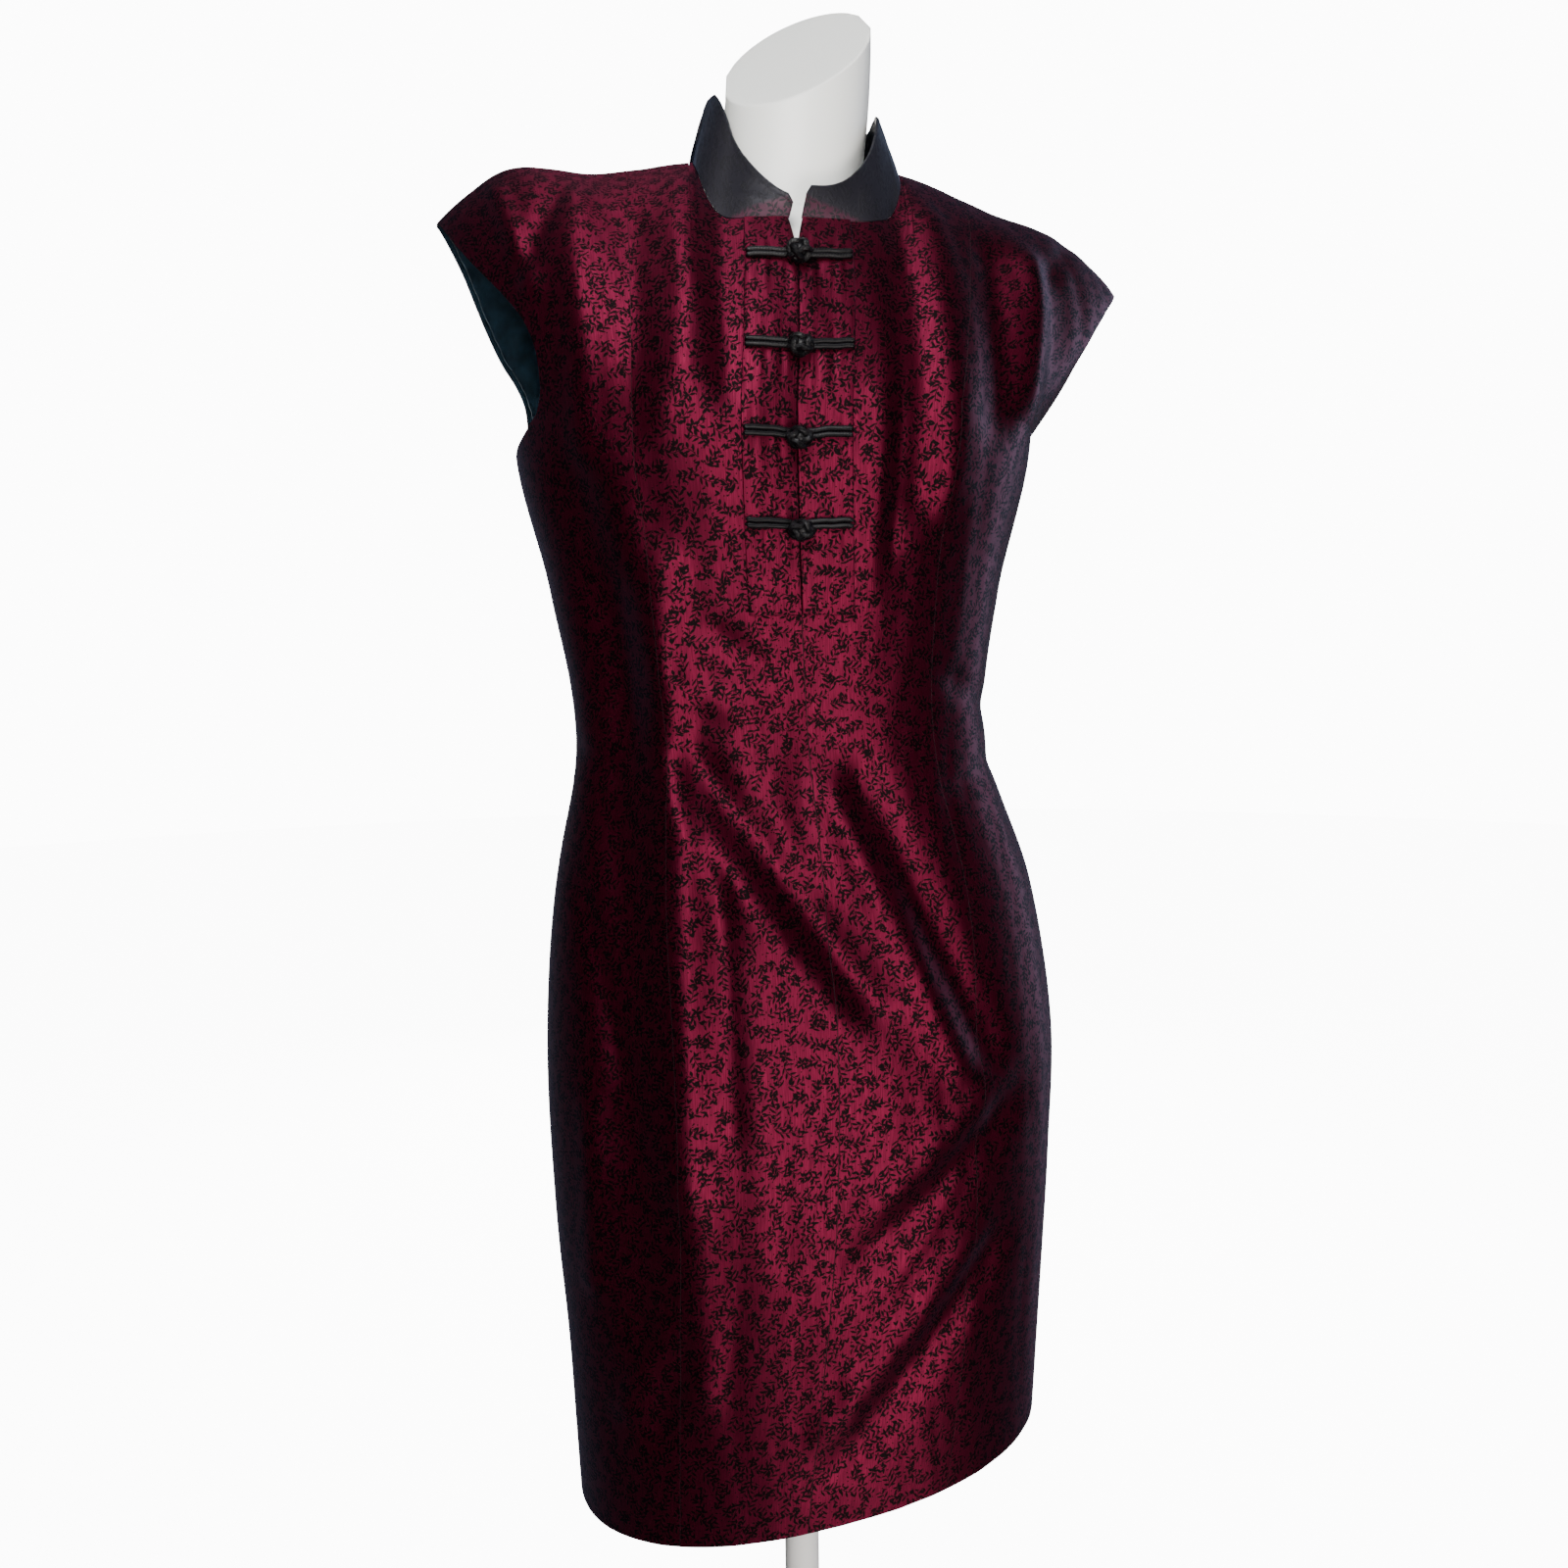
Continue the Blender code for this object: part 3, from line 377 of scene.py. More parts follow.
def creases(point, turn, table):
    """Rise of soft troughs and ridges: Gaussian across a segment in x and z, rounded off past its ends."""
    total = np.zeros(point.shape[:-1])
    x = point[..., 0]
    z = point[..., 2]
    for side, rows in table.items():
        seen = facing(turn, side)
        for x0, z0, x1, z1, half_width, rise in np.array(rows) / 1000:
            length = math.hypot(x1 - x0, z1 - z0)
            along = ((x - x0) * (x1 - x0) + (z - z0) * (z1 - z0)) / length
            off = ((x - x0) * (z1 - z0) - (z - z0) * (x1 - x0)) / length
            beyond = np.maximum(np.maximum(-along, along - length), 0)
            total += seen * rise * np.exp(-(off / half_width) ** 2 - (beyond / (1.5 * half_width)) ** 2)
    return total


def relief(point, turn):
    """Rise of the soft forms and of the largest folds, as the solids have them."""
    total = creases(point, turn, FOLDS)
    for side, at_x, at_z, half_width, half_height, rise in FORMS:
        spread = ((point[..., 0] - at_x) / half_width) ** 2 + ((point[..., 2] - at_z) / half_height) ** 2
        total += facing(turn, side) * rise * np.exp(-spread)
    return total


def cloth(turn, level, out=0.0):
    """Outer surface of the cloth, folds included, moved out by a distance; and its normals."""
    turn, level = np.broadcast_arrays(np.asarray(turn, float), np.asarray(level, float))
    point = smooth_body(turn, level)
    normal = outward(turn, level)
    lift = relief(point, turn) + out
    return point + normal * lift[..., None], normal


def level_at(height):
    """Level of a height on the centre front."""
    if height <= BUST:
        return height
    share = (height - BUST) / (SHOULDERS[0, 2] - BUST)
    way = math.asin(share ** (FRONT_BEND / 2)) / (math.pi / 2)
    return BUST + (RIDGE - BUST) * way


def turn_of(distance, level, left):
    """Turn of a short distance across the centre front."""
    rise = np.sin(np.clip((level - BUST) / (RIDGE - BUST), 0, 1) * math.pi / 2) ** (2 / FRONT_BEND)
    low = curve(SECTIONS, 1, np.minimum(level, BUST))
    tip = SHOULDERS[-1, 1] if left else SHOULDERS[-1, 3]
    return distance / ((low + (tip - low) * rise) * math.pi / 2)


def centre_turn(level):
    """Turn of the centre front seam, which swings a little to one side."""
    swing = curve(SECTIONS, 5, np.minimum(level, BUST))
    calm = 1 - SWING_CALMED * np.clip((level - BUST) / (RIDGE - BUST), 0, 1)
    return turn_of(swing * calm, level, True)


def opening_turn(level, left):
    """Turn of one edge of the front opening, which parts in a V under the collar."""
    share = np.clip((level - BUST) / (RIDGE - BUST), 0, 1)
    part = V_HALF_WIDTH * np.clip((share - V_BOTTOM) / (NECK_FRONT - V_BOTTOM), 0, 1)
    return centre_turn(level) + (1 if left else -1) * turn_of(part, level, left)


def placket_turn(level, left):
    """Turn of the placket's outer edge."""
    return centre_turn(level) + (1 if left else -1) * turn_of(PLACKET_HALF_WIDTH, level, left)


def princess_turn(level, left):
    """Turn of a princess seam: the table up to the bust, then inward to the shoulder."""
    share = np.clip((level - BUST) / (RIDGE - BUST), 0, 1)
    way = curve(SECTIONS, 6, np.minimum(level, BUST)) - PRINCESS_INWARD * share
    return (1 if left else -1) * way + PRINCESS_SWING * centre_turn(level)


def neck_share(turn, centre_share, squareness, neck_turn=NECK_TURN):
    """Share of the rise at which the neckline cuts a line of constant turn from its centre.

    It is a superellipse: centre + (1 - centre) (1 - (1 - t^n)^(1/n)), t being the share of neck_turn.
    """
    t = np.clip(np.abs(turn) / neck_turn, 0, 1)
    return centre_share + (1 - centre_share) * (1 - (1 - t**squareness) ** (1 / squareness))


def armhole_turn(level, front, left):
    """Turn of an armhole edge, which is the side seam's below the underarm."""
    share = np.clip((level - BUST + UNDERARM_DROP) / (RIDGE - BUST + UNDERARM_DROP), 0, 1)
    return curve(ARMHOLES, (1 if front else 3) + (0 if left else 1), share)


def even(count):
    """Shares of equal spans."""
    return np.arange(count) / count


def bunched(count):
    """Shares of spans that get shorter towards the end, as the back neckline's corner needs."""
    return 1 - (1 - np.arange(count) / count) ** 2


def cornered(count):
    """Shares of spans that are even along the front neckline's superellipse: t = sin(a)^(2/n)."""
    start = math.asin(PLACKET_SHARE ** (NECK_SQUARENESS / 2))
    angle = start + (math.pi / 2 - start) * even(count)
    return (np.sin(angle) ** (2 / NECK_SQUARENESS) - PLACKET_SHARE) / (1 - PLACKET_SHARE)


def turn_between(lines, spans, level):
    """Turn of each column: at each line, and at the given shares of the way to the next."""
    columns, first = [], 0
    for k, shares in enumerate(spans):
        at = level[..., first:first + len(shares)]
        share = np.asarray(shares)
        columns.append(lines[k](at) * (1 - share) + lines[k + 1](at) * share)
        first += len(shares)
    columns.append(lines[-1](level[..., -1:]))
    return np.concatenate(columns, -1)


def panel_grid(lines, spans, top_share):
    """Turn and level of a panel's grid, between seam lines and up to its top edge.

    Each column's top is where it meets the top edge, found by repeated substitution.
    """
    underarm = BUST - UNDERARM_DROP
    low = np.concatenate([np.linspace(0, underarm, int(underarm / ROW_SPACING) + 1)[:-1],
                          np.linspace(underarm, BUST, UNDERARM_ROWS + 1)])
    high = np.linspace(0, 1, UPPER_ROWS + 1)[1:]
    count = sum(len(shares) for shares in spans) + 1
    top = np.ones(count)
    for _ in range(40):
        top = 0.5 * top + 0.5 * top_share(turn_between(lines, spans, BUST + (RIDGE - BUST) * top))
    level = np.concatenate([
        np.repeat(low[:, None], count, 1),
        BUST + (RIDGE - BUST) * high[:, None] * top[None, :],
    ])
    return turn_between(lines, spans, level), level


def front_center_grid(left):
    """Grid of a centre front: opening, placket's edge, corner of the neck, princess seam."""
    sign = 1 if left else -1
    edge_at_top = placket_turn(np.array(RIDGE), left)
    seam_at_top = princess_turn(np.array(RIDGE), left)
    corner = (sign * NECK_TURN - edge_at_top) / (seam_at_top - edge_at_top)

    def neck_line(level):
        edge = placket_turn(level, left)
        return edge + (princess_turn(level, left) - edge) * corner

    lines = [lambda at: opening_turn(at, left), lambda at: placket_turn(at, left), neck_line,
             lambda at: princess_turn(at, left)]
    spans = [even(PLACKET_COLUMNS), cornered(CORNER_COLUMNS), even(CENTRE_COLUMNS)]
    return panel_grid(lines, spans, lambda turn: neck_share(turn, NECK_FRONT, NECK_SQUARENESS))


def front_side_grid(left):
    """Grid of a side front, from the princess seam to the side seam, armhole and sleeve tip."""
    sign = 1 if left else -1
    lines = [lambda at: princess_turn(at, left), lambda at: sign * armhole_turn(at, True, left)]
    return panel_grid(lines, [even(SIDE_COLUMNS)], np.ones_like)


def back_grid(left):
    """Grid of a back: centre back seam, corner of the neck, side seam and armhole."""
    sign = 1 if left else -1
    lines = [lambda at: np.full_like(at, 2.0 * sign), lambda at: np.full_like(at, sign * (2 - NECK_TURN)),
             lambda at: sign * armhole_turn(at, False, left)]
    spans = [bunched(BACK_NECK_COLUMNS), even(BACK_COLUMNS)]
    return panel_grid(lines, spans, lambda turn: neck_share(2 - np.abs(turn), NECK_BACK, ROUND_SQUARENESS))


GRIDS = {(make, left): make(left) for make in (front_center_grid, front_side_grid, back_grid)
         for _, left in SIDES}


def wave(at, length, seed):
    """Uneven wave from -1 to 1: three sines of unlike lengths, their phases set by a seed."""
    phases = np.random.default_rng(seed).uniform(0, 2 * math.pi, 3)
    total = 0.0
    for share, stretch, phase in zip((0.5, 0.3, 0.2), (1, 0.618, 1.73), phases):
        total = total + share * np.sin(2 * math.pi * at / (length * stretch) + phase)
    return total


def summed(point, axis):
    """Distance along the rows or columns of a grid of points, from its first one."""
    steps = np.linalg.norm(np.diff(point, axis=axis), axis=-1)
    return np.concatenate([np.zeros_like(steps.take([0], axis)), np.cumsum(steps, axis)], axis)


def across_and_up(point):
    """Distance along each row of a grid from its first column, and up the middle column from the hem."""
    columns = point.shape[1]
    return summed(point, 1), np.repeat(summed(point[:, [columns // 2]], 0), columns, 1)


# Distances round the smooth body and up it, over turn and level, that the woven figure is laid by
MEASURE_TURNS = np.linspace(-2, 2, 321)
MEASURE_LEVELS = np.linspace(0, RIDGE, 201)
MEASURED = smooth_body(MEASURE_TURNS[None], MEASURE_LEVELS[:, None])
ROUND_IT = summed(MEASURED, 1)
UP_IT = summed(MEASURED, 0)


def looked_up(table, turn, level):
    """Value of a table over turn and level, straight between its entries."""
    t = np.clip((turn + 2) / 4, 0, 1) * (len(MEASURE_TURNS) - 1)
    v = np.clip(level / RIDGE, 0, 1) * (len(MEASURE_LEVELS) - 1)
    t0 = np.minimum(t.astype(int), len(MEASURE_TURNS) - 2)
    v0 = np.minimum(v.astype(int), len(MEASURE_LEVELS) - 2)
    t, v = t - t0, v - v0
    low = table[v0, t0] * (1 - t) + table[v0, t0 + 1] * t
    high = table[v0 + 1, t0] * (1 - t) + table[v0 + 1, t0 + 1] * t
    return low * (1 - v) + high * v


def on_cut(turn, level, middle, offset):
    """UV in metres: the way round from the panel's middle line, and the way up from the hem."""
    start = middle(level)
    across = looked_up(ROUND_IT, turn, level) - looked_up(ROUND_IT, start, level)
    return np.stack([across + offset[0], looked_up(UP_IT, turn, level) + offset[1]], -1)


def front_center_middle(left):
    """Middle line of a centre front: half way from the centre seam to the princess seam."""
    return lambda level: (centre_turn(level) + princess_turn(level, left)) / 2


def front_side_middle(left):
    """Middle line of a side front, which keeps its distance from the princess seam."""
    sign = 1 if left else -1
    return lambda level: princess_turn(level, left) + FRONT_SIDE_MIDDLE * sign


def back_middle(left):
    """Middle line of a back, at one turn all the way up."""
    sign = 1 if left else -1
    return lambda level: np.full_like(level, BACK_MIDDLE * sign)


def worn(point, turn):
    """Finer creases, and a faint unevenness: leaning waves about 30 mm wide and ripples of 13 mm."""
    x = point[..., 0] + 0.35 * point[..., 1]
    z = point[..., 2]
    lean = 0.012 * wave(z, 0.31, 5)
    wide = wave(x + lean, 0.034, 6) * (0.6 + 0.4 * wave(z, 0.17, 7))
    fine = wave(x + 0.5 * lean, 0.013, 8) * (0.5 + 0.5 * wave(z, 0.11, 9))
    return creases(point, turn, CREASES) + WAVE_RISE * wide + RIPPLE_RISE * fine


def seam_relief(across, up, seed):
    """Seams at a panel's two upright edges: a faint groove, with small puckers beside it."""
    total = np.zeros(across.shape)
    for k, distance in enumerate((across, across[:, -1:] - across)):
        total -= GROOVE_DEPTH * np.exp(-(distance / STITCH_WIDTH) ** 2)
        pucker = wave(up, 0.011, seed + 3 * k) * (0.55 + 0.45 * wave(up, 0.09, seed + 3 * k + 1))
        total += PUCKER_RISE * pucker * np.exp(-distance / 0.007) * smooth_step(distance / 0.003)
    return total


def tidy_faces(rows, columns, first=0, closed=False, flip=False):
    """Quads of a grid of points as an array; closed joins its last column to its first."""
    index = first + np.arange(rows * columns).reshape(rows, columns)
    if closed:
        index = np.concatenate([index, index[:, :1]], 1)
    a, b = index[:-1, :-1], index[:-1, 1:]
    c, d = index[1:, 1:], index[1:, :-1]
    faces = np.stack([a, b, c, d], -1).reshape(-1, 4)
    return faces[:, ::-1] if flip else faces


def piece(name, points, faces, uv, looks, which=None, stands_for=()):
    """New piece from arrays of points, quads and UV, riding on the part; which gives each face's material."""
    mesh = bpy.data.meshes.new(name)
    mesh.vertices.add(len(points))
    mesh.vertices.foreach_set("co", points.astype(np.float32).ravel())
    mesh.loops.add(faces.size)
    mesh.loops.foreach_set("vertex_index", faces.astype(np.int32).ravel())
    mesh.polygons.add(len(faces))
    mesh.polygons.foreach_set("loop_start", np.arange(0, faces.size, 4, dtype=np.int32))
    mesh.update(calc_edges=True)
    layer = mesh.uv_layers.new(name="cut")
    layer.data.foreach_set("uv", uv[faces.ravel()].astype(np.float32).ravel())
    for look in looks:
        mesh.materials.append(look)
    if which is not None:
        mesh.polygons.foreach_set("material_index", which.astype(np.int32))
    mesh.shade_smooth()
    mesh.update()
    mesh.set_sharp_from_angle(angle=SHARP_EDGE)
    made = bpy.data.objects.new(name, mesh)
    bpy.context.scene.collection.objects.link(made)
    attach(made, "root")
    for node in stands_for:
        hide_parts(node)
    return made


def thin_shell(outer, normal, wall, uv, closed=False):
    """Points, quads and UV of a wall: the outer grid, the grid moved in, and a rounded rim between.

    The rim is a third line of points half way through the wall, pushed out past the edge by half of it.
    """
    rows, columns = outer.shape[:2]
    inner = outer - normal * wall
    ids = np.arange(rows * columns).reshape(rows, columns)
    if closed:
        loops = [(ids[0], ids[1]), (ids[-1], ids[-2])]
    else:
        edge = np.concatenate([ids[0, :-1], ids[:-1, -1], ids[-1, :0:-1], ids[:0:-1, 0]])
        within = np.concatenate([ids[1, :-1], ids[:-1, -2], ids[-2, :0:-1], ids[:0:-1, 1]])
        within[0] = ids[1, 1]
        within[columns - 1] = ids[1, -2]
        within[columns + rows - 2] = ids[-2, -2]
        within[2 * columns + rows - 3] = ids[-2, 1]
        loops = [(edge, within)]
    flat_outer = outer.reshape(-1, 3)
    flat_inner = inner.reshape(-1, 3)
    points = [flat_outer, flat_inner]
    uvs = [uv.reshape(-1, 2), uv.reshape(-1, 2)]
    faces = [tidy_faces(rows, columns, 0, closed), tidy_faces(rows, columns, rows * columns, closed, True)]
    first = 2 * rows * columns
    for n, (edge, within) in enumerate(loops):
        way = flat_outer[edge] - flat_outer[within]
        way /= np.linalg.norm(way, axis=1, keepdims=True)
        points.append((flat_outer[edge] + flat_inner[edge]) / 2 + way * wall / 2)
        uvs.append(uv.reshape(-1, 2)[edge])
        middle = first + np.arange(len(edge))
        after = np.roll(np.arange(len(edge)), -1)
        up = np.stack([edge, middle, middle[after], edge[after]], 1)
        down = np.stack([middle, edge + rows * columns, edge[after] + rows * columns, middle[after]], 1)
        both = np.concatenate([up, down])
        faces.append(both[:, ::-1] if n == 1 else both)
        first += len(edge)
    points = np.concatenate(points)
    faces = np.concatenate(faces)
    facing = np.cross(outer[1:-1, 2:] - outer[1:-1, :-2], outer[2:, 1:-1] - outer[:-2, 1:-1])
    if (facing * normal[1:-1, 1:-1]).sum() < 0:
        faces = faces[:, ::-1]
    points[:, 2] += HEM_HEIGHT
    return points, faces, np.concatenate(uvs)


def linear(colour):
    """An sRGB hex colour in linear light."""
    values = np.array([int(colour[i:i + 2], 16) for i in (1, 3, 5)]) / 255
    lit = np.where(values <= 0.04045, values / 12.92, ((values + 0.055) / 1.055) ** 2.4)
    return (float(lit[0]), float(lit[1]), float(lit[2]), 1.0)


def join(tree, made, inputs):
    """Fill inputs, by place or name: values and hex colours are set, sockets and nodes are linked."""
    for key, value in (inputs.items() if isinstance(inputs, dict) else enumerate(inputs)):
        if isinstance(value, bpy.types.Node):
            value = value.outputs[2 if value.bl_idname == "ShaderNodeMix" else 0]
        if isinstance(value, bpy.types.NodeSocket):
            tree.links.new(value, made.inputs[key])
        else:
            made.inputs[key].default_value = linear(value) if isinstance(value, str) else value


def add(tree, kind, inputs=(), **settings):
    """One node with its settings and inputs; what it works out may follow its kind after a space."""
    kind, *mode = kind.split()
    made = tree.nodes.new("ShaderNode" + kind)
    if mode:
        setattr(made, "data_type" if kind == "Mix" else "operation", mode[0])
    for name, value in settings.items():
        setattr(made, name, value)
    join(tree, made, inputs)
    return made


def new_look(name):
    """A material with one shader, its node tree and that shader."""
    made = bpy.data.materials.new(name)
    made.use_nodes = True
    return made, made.node_tree, made.node_tree.nodes["Principled BSDF"]


def scattered(tree, place, cell, wander, lean):
    """Places for one motif per square cell: x and y in mm from its centre, turned at random, and a chance.

    The place is turned by a lean, so that no two nets of cells agree, and moved by the same number;
    each cell's centre wanders and turns by white noise.
    """
    leaning = add(tree, "VectorRotate", {"Vector": place, "Angle": lean}, rotation_type="Z_AXIS")
    moved = add(tree, "VectorMath ADD", (leaning, (lean * 70, lean * 110, 0)))
    scaled = add(tree, "VectorMath MULTIPLY", (moved, (1 / cell, 1 / cell, 1)))
    corner = add(tree, "VectorMath FLOOR", (scaled,))
    chance = add(tree, "TexWhiteNoise", (corner,), noise_dimensions="2D")
    within = add(tree, "VectorMath SUBTRACT", (scaled, corner))
    shift = add(tree, "VectorMath MULTIPLY", (chance.outputs["Color"], (wander, wander, 0)))
    start = 0.5 + wander / 2
    centred = add(tree, "VectorMath SUBTRACT", (within, (start, start, 0)))
    centred = add(tree, "VectorMath ADD", (centred, shift))
    sized = add(tree, "VectorMath MULTIPLY", (centred, (cell, cell, 0)))
    angle = add(tree, "Math MULTIPLY", (chance.outputs["Value"], 2 * math.pi))
    turned = add(tree, "VectorRotate", {"Vector": sized, "Angle": angle}, rotation_type="Z_AXIS")
    split = add(tree, "SeparateXYZ", (turned,))
    return split.outputs["X"], split.outputs["Y"], chance.outputs["Value"]


def oval(tree, along, off, middle, half_length, half_width):
    """How far inside a pointed oval: half_width (1 - ((along - middle) / half_length)^2) - |off|."""
    from_middle = add(tree, "Math ADD", (along, -middle))
    share = add(tree, "Math MULTIPLY", (from_middle, 1 / half_length))
    square = add(tree, "Math MULTIPLY", (share, share))
    width = add(tree, "Math MULTIPLY_ADD", (square, -half_width, half_width))
    side = add(tree, "Math ABSOLUTE", (off,))
    return add(tree, "Math SUBTRACT", (width, side))


def sometimes(tree, shape, chance, share):
    """The shape in that share of the cells, and nothing in the others."""
    there = add(tree, "Math LESS_THAN", (chance, share))
    limit = add(tree, "Math MULTIPLY_ADD", (there, 18.0, -9.0))
    return add(tree, "Math MINIMUM", (shape, limit))


def sprig(tree, place, cell, lean):
    """A bent stem 10 mm long with leaves 4.4 mm long in turn on its two sides."""
    x, y, chance = scattered(tree, place, cell, 0.14, lean)
    square = add(tree, "Math MULTIPLY", (x, x))
    off = add(tree, "Math MULTIPLY_ADD", (square, -0.045, y))
    other = add(tree, "Math LESS_THAN", (off, 0.0))
    pitch = 3.6
    share = add(tree, "Math MULTIPLY", (x, 1 / pitch))
    staggered = add(tree, "Math MULTIPLY_ADD", (other, 0.5, share))
    nearest = add(tree, "Math FRACT", (staggered,))
    along = add(tree, "Math MULTIPLY", (nearest, pitch))
    side = add(tree, "Math ABSOLUTE", (off,))
    flat = add(tree, "CombineXYZ", (along, side, 0.0))
    leaning = add(tree, "VectorRotate", {"Vector": flat, "Angle": -0.85}, rotation_type="Z_AXIS")
    split = add(tree, "SeparateXYZ", (leaning,))
    leaf = oval(tree, split.outputs["X"], split.outputs["Y"], 2.4, 2.2, 0.72)
    stem = add(tree, "Math SUBTRACT", (0.20, side))
    both = add(tree, "Math MAXIMUM", (leaf, stem))
    reach = add(tree, "Math ABSOLUTE", (x,))
    end = add(tree, "Math SUBTRACT", (5.3, reach))
    return add(tree, "Math MINIMUM", (both, end))


def blossom(tree, place, cell, lean):
    """A flower 8 mm across with five separate petals, in one cell of two."""
    x, y, chance = scattered(tree, place, cell, 0.3, lean)
    angle = add(tree, "Math ARCTAN2", (y, x))
    share = add(tree, "Math MULTIPLY", (angle, 5 / (2 * math.pi)))
    nearest = add(tree, "Math FRACT", (share,))
    centred = add(tree, "Math ADD", (nearest, -0.5))
    petal_angle = add(tree, "Math MULTIPLY", (centred, 2 * math.pi / 5))
    square = add(tree, "Math MULTIPLY", (x, x))
    squares = add(tree, "Math MULTIPLY_ADD", (y, y, square))
    radius = add(tree, "Math SQRT", (squares,))
    cosine = add(tree, "Math COSINE", (petal_angle,))
    sine = add(tree, "Math SINE", (petal_angle,))
    along = add(tree, "Math MULTIPLY", (radius, cosine))
    off = add(tree, "Math MULTIPLY", (radius, sine))
    petals = oval(tree, along, off, 2.1, 1.7, 0.75)
    return sometimes(tree, petals, chance, 0.5)


def leaf_pair(tree, place, cell, lean):
    """Two leaves 4.4 mm long that part from one point."""
    x, y, chance = scattered(tree, place, cell, 0.3, lean)
    side = add(tree, "Math ABSOLUTE", (y,))
    flat = add(tree, "CombineXYZ", (x, side, 0.0))
    leaning = add(tree, "VectorRotate", {"Vector": flat, "Angle": -0.55}, rotation_type="Z_AXIS")
    split = add(tree, "SeparateXYZ", (leaning,))
    leaf = oval(tree, split.outputs["X"], split.outputs["Y"], 0.9, 2.2, 0.68)
    return sometimes(tree, leaf, chance, 0.6)


def woven_figure(tree):
    """Place in mm, and 1 on the black figure of sprigs, flowers, leaf pairs and buds, 0 on the ground."""
    place = place_in_mm(tree)
    total = sprig(tree, place, 13.0, 0.35)
    total = add(tree, "Math MAXIMUM", (total, sprig(tree, place, 15.8, 1.13)))
    total = add(tree, "Math MAXIMUM", (total, blossom(tree, place, 12.0, 0.77)))
    total = add(tree, "Math MAXIMUM", (total, leaf_pair(tree, place, 8.6, 1.42)))
    total = add(tree, "Math MAXIMUM", (total, leaf_pair(tree, place, 9.9, 2.01)))
    buds = add(tree, "TexVoronoi", {"Vector": place, "Scale": 1 / 5.0}, voronoi_dimensions="2D")
    bud = add(tree, "Math MULTIPLY_ADD", (buds.outputs["Distance"], -5.0, 0.42))
    total = add(tree, "Math MAXIMUM", (total, bud))
    edge = add(tree, "Math MULTIPLY_ADD", (total, 5.0, 0.5), use_clamp=True)
    return place, edge


def place_in_mm(tree):
    """Place on a piece's flat cut, in millimetres."""
    cut = add(tree, "UVMap", uv_map="cut")
    return add(tree, "VectorMath MULTIPLY", (cut, (1000, 1000, 0)))


def jacquard():
    """Shot satin jacquard: burgundy weft floats over a black warp, with the figure in dull black.

    The long floats give a metal-like gloss that is narrow across the cloth and wide up it.
    """
    made, tree, shader = new_look("satin_jacquard_burgundy")
    place, figure = woven_figure(tree)
    # Threads lie 0.1 mm apart, too fine to show, so the streaks are drawn 0.7 mm apart
    stretched = add(tree, "VectorMath MULTIPLY", (place, (1 / 0.7, 1 / 14.0, 0)))
    streaks = add(tree, "TexNoise", {"Vector": stretched, "Scale": 1.0, "Detail": 2.0}, noise_dimensions="2D")
    ground = add(tree, "Mix RGBA", {"Factor": streaks, 6: "#2f0313", 7: "#5e0e29"})
    dull = add(tree, "Mix RGBA", {"Factor": streaks, 6: "#080405", 7: "#0e0608"})
    height = add(tree, "Math MULTIPLY", (streaks, 0.45))
    height = add(tree, "Math MULTIPLY_ADD", (figure, 0.6, height))
    rough = add(tree, "Math MULTIPLY_ADD", (streaks, -0.14, 0.56))
    join(tree, shader, {
        "Base Color": add(tree, "Mix RGBA", {"Factor": figure, 6: ground, 7: dull}),
        "Metallic": add(tree, "Math MULTIPLY_ADD", (figure, -0.35, 0.88)),
        "Roughness": add(tree, "Math MULTIPLY_ADD", (figure, 0.08, rough)),
        "Specular IOR Level": add(tree, "Math MULTIPLY_ADD", (figure, -0.20, 0.25)),
        "Normal": add(tree, "Bump", {"Strength": 0.35, "Distance": 0.0002, "Height": height}),
        "Tangent": add(tree, "Tangent", direction_type="UV_MAP", uv_map="cut"),
        "Anisotropic": 0.75, "Anisotropic Rotation": 0.25,
        "Sheen Weight": 0.09, "Sheen Roughness": 0.35, "Sheen Tint": "#8088b4"})
    return made


def collar_satin_painted_shade():
    """The collar's satin: the burgundy jacquard painted as a dark slate shade, with a trace of the woven
    figure.

    Below a slanting line at the two front ends it is painted with a burgundy shine, as shot cloth shows at a
    turn.
    """
    made, tree, shader = new_look("satin_slate_painted_shade")
    place, figure = woven_figure(tree)
    # Painted shade: the jacquard's burgundy darkened to slate, with the figure darker still
    painted_slate_shade = add(tree, "Mix RGBA", {"Factor": figure, 6: "#131118", 7: "#0d0b11"})
    # Painted shine: burgundy at the two front ends, below the slanting line
    ends = add(tree, "Mix RGBA", {"Factor": figure, 6: "#33091e", 7: "#0c070b"})
    split = add(tree, "SeparateXYZ", (place,))
    line = add(tree, "Math MULTIPLY_ADD", (split.outputs["X"], -0.38, 13.5))
    below = add(tree, "Math SUBTRACT", (line, split.outputs["Y"]))
    turned = add(tree, "Math MULTIPLY_ADD", (below, 0.4, 0.5), use_clamp=True)
    join(tree, shader, {
        "Base Color": add(tree, "Mix RGBA", {"Factor": turned, 6: painted_slate_shade, 7: ends}),
        "Roughness": add(tree, "Math MULTIPLY_ADD", (figure, 0.10, 0.50)),
        "Normal": add(tree, "Bump", {"Strength": 0.3, "Distance": 0.0002, "Height": figure}),
        "Metallic": 0.2, "Specular IOR Level": 0.3,
        "Sheen Weight": 0.15, "Sheen Roughness": 0.35, "Sheen Tint": "#7d90b4"})
    return made


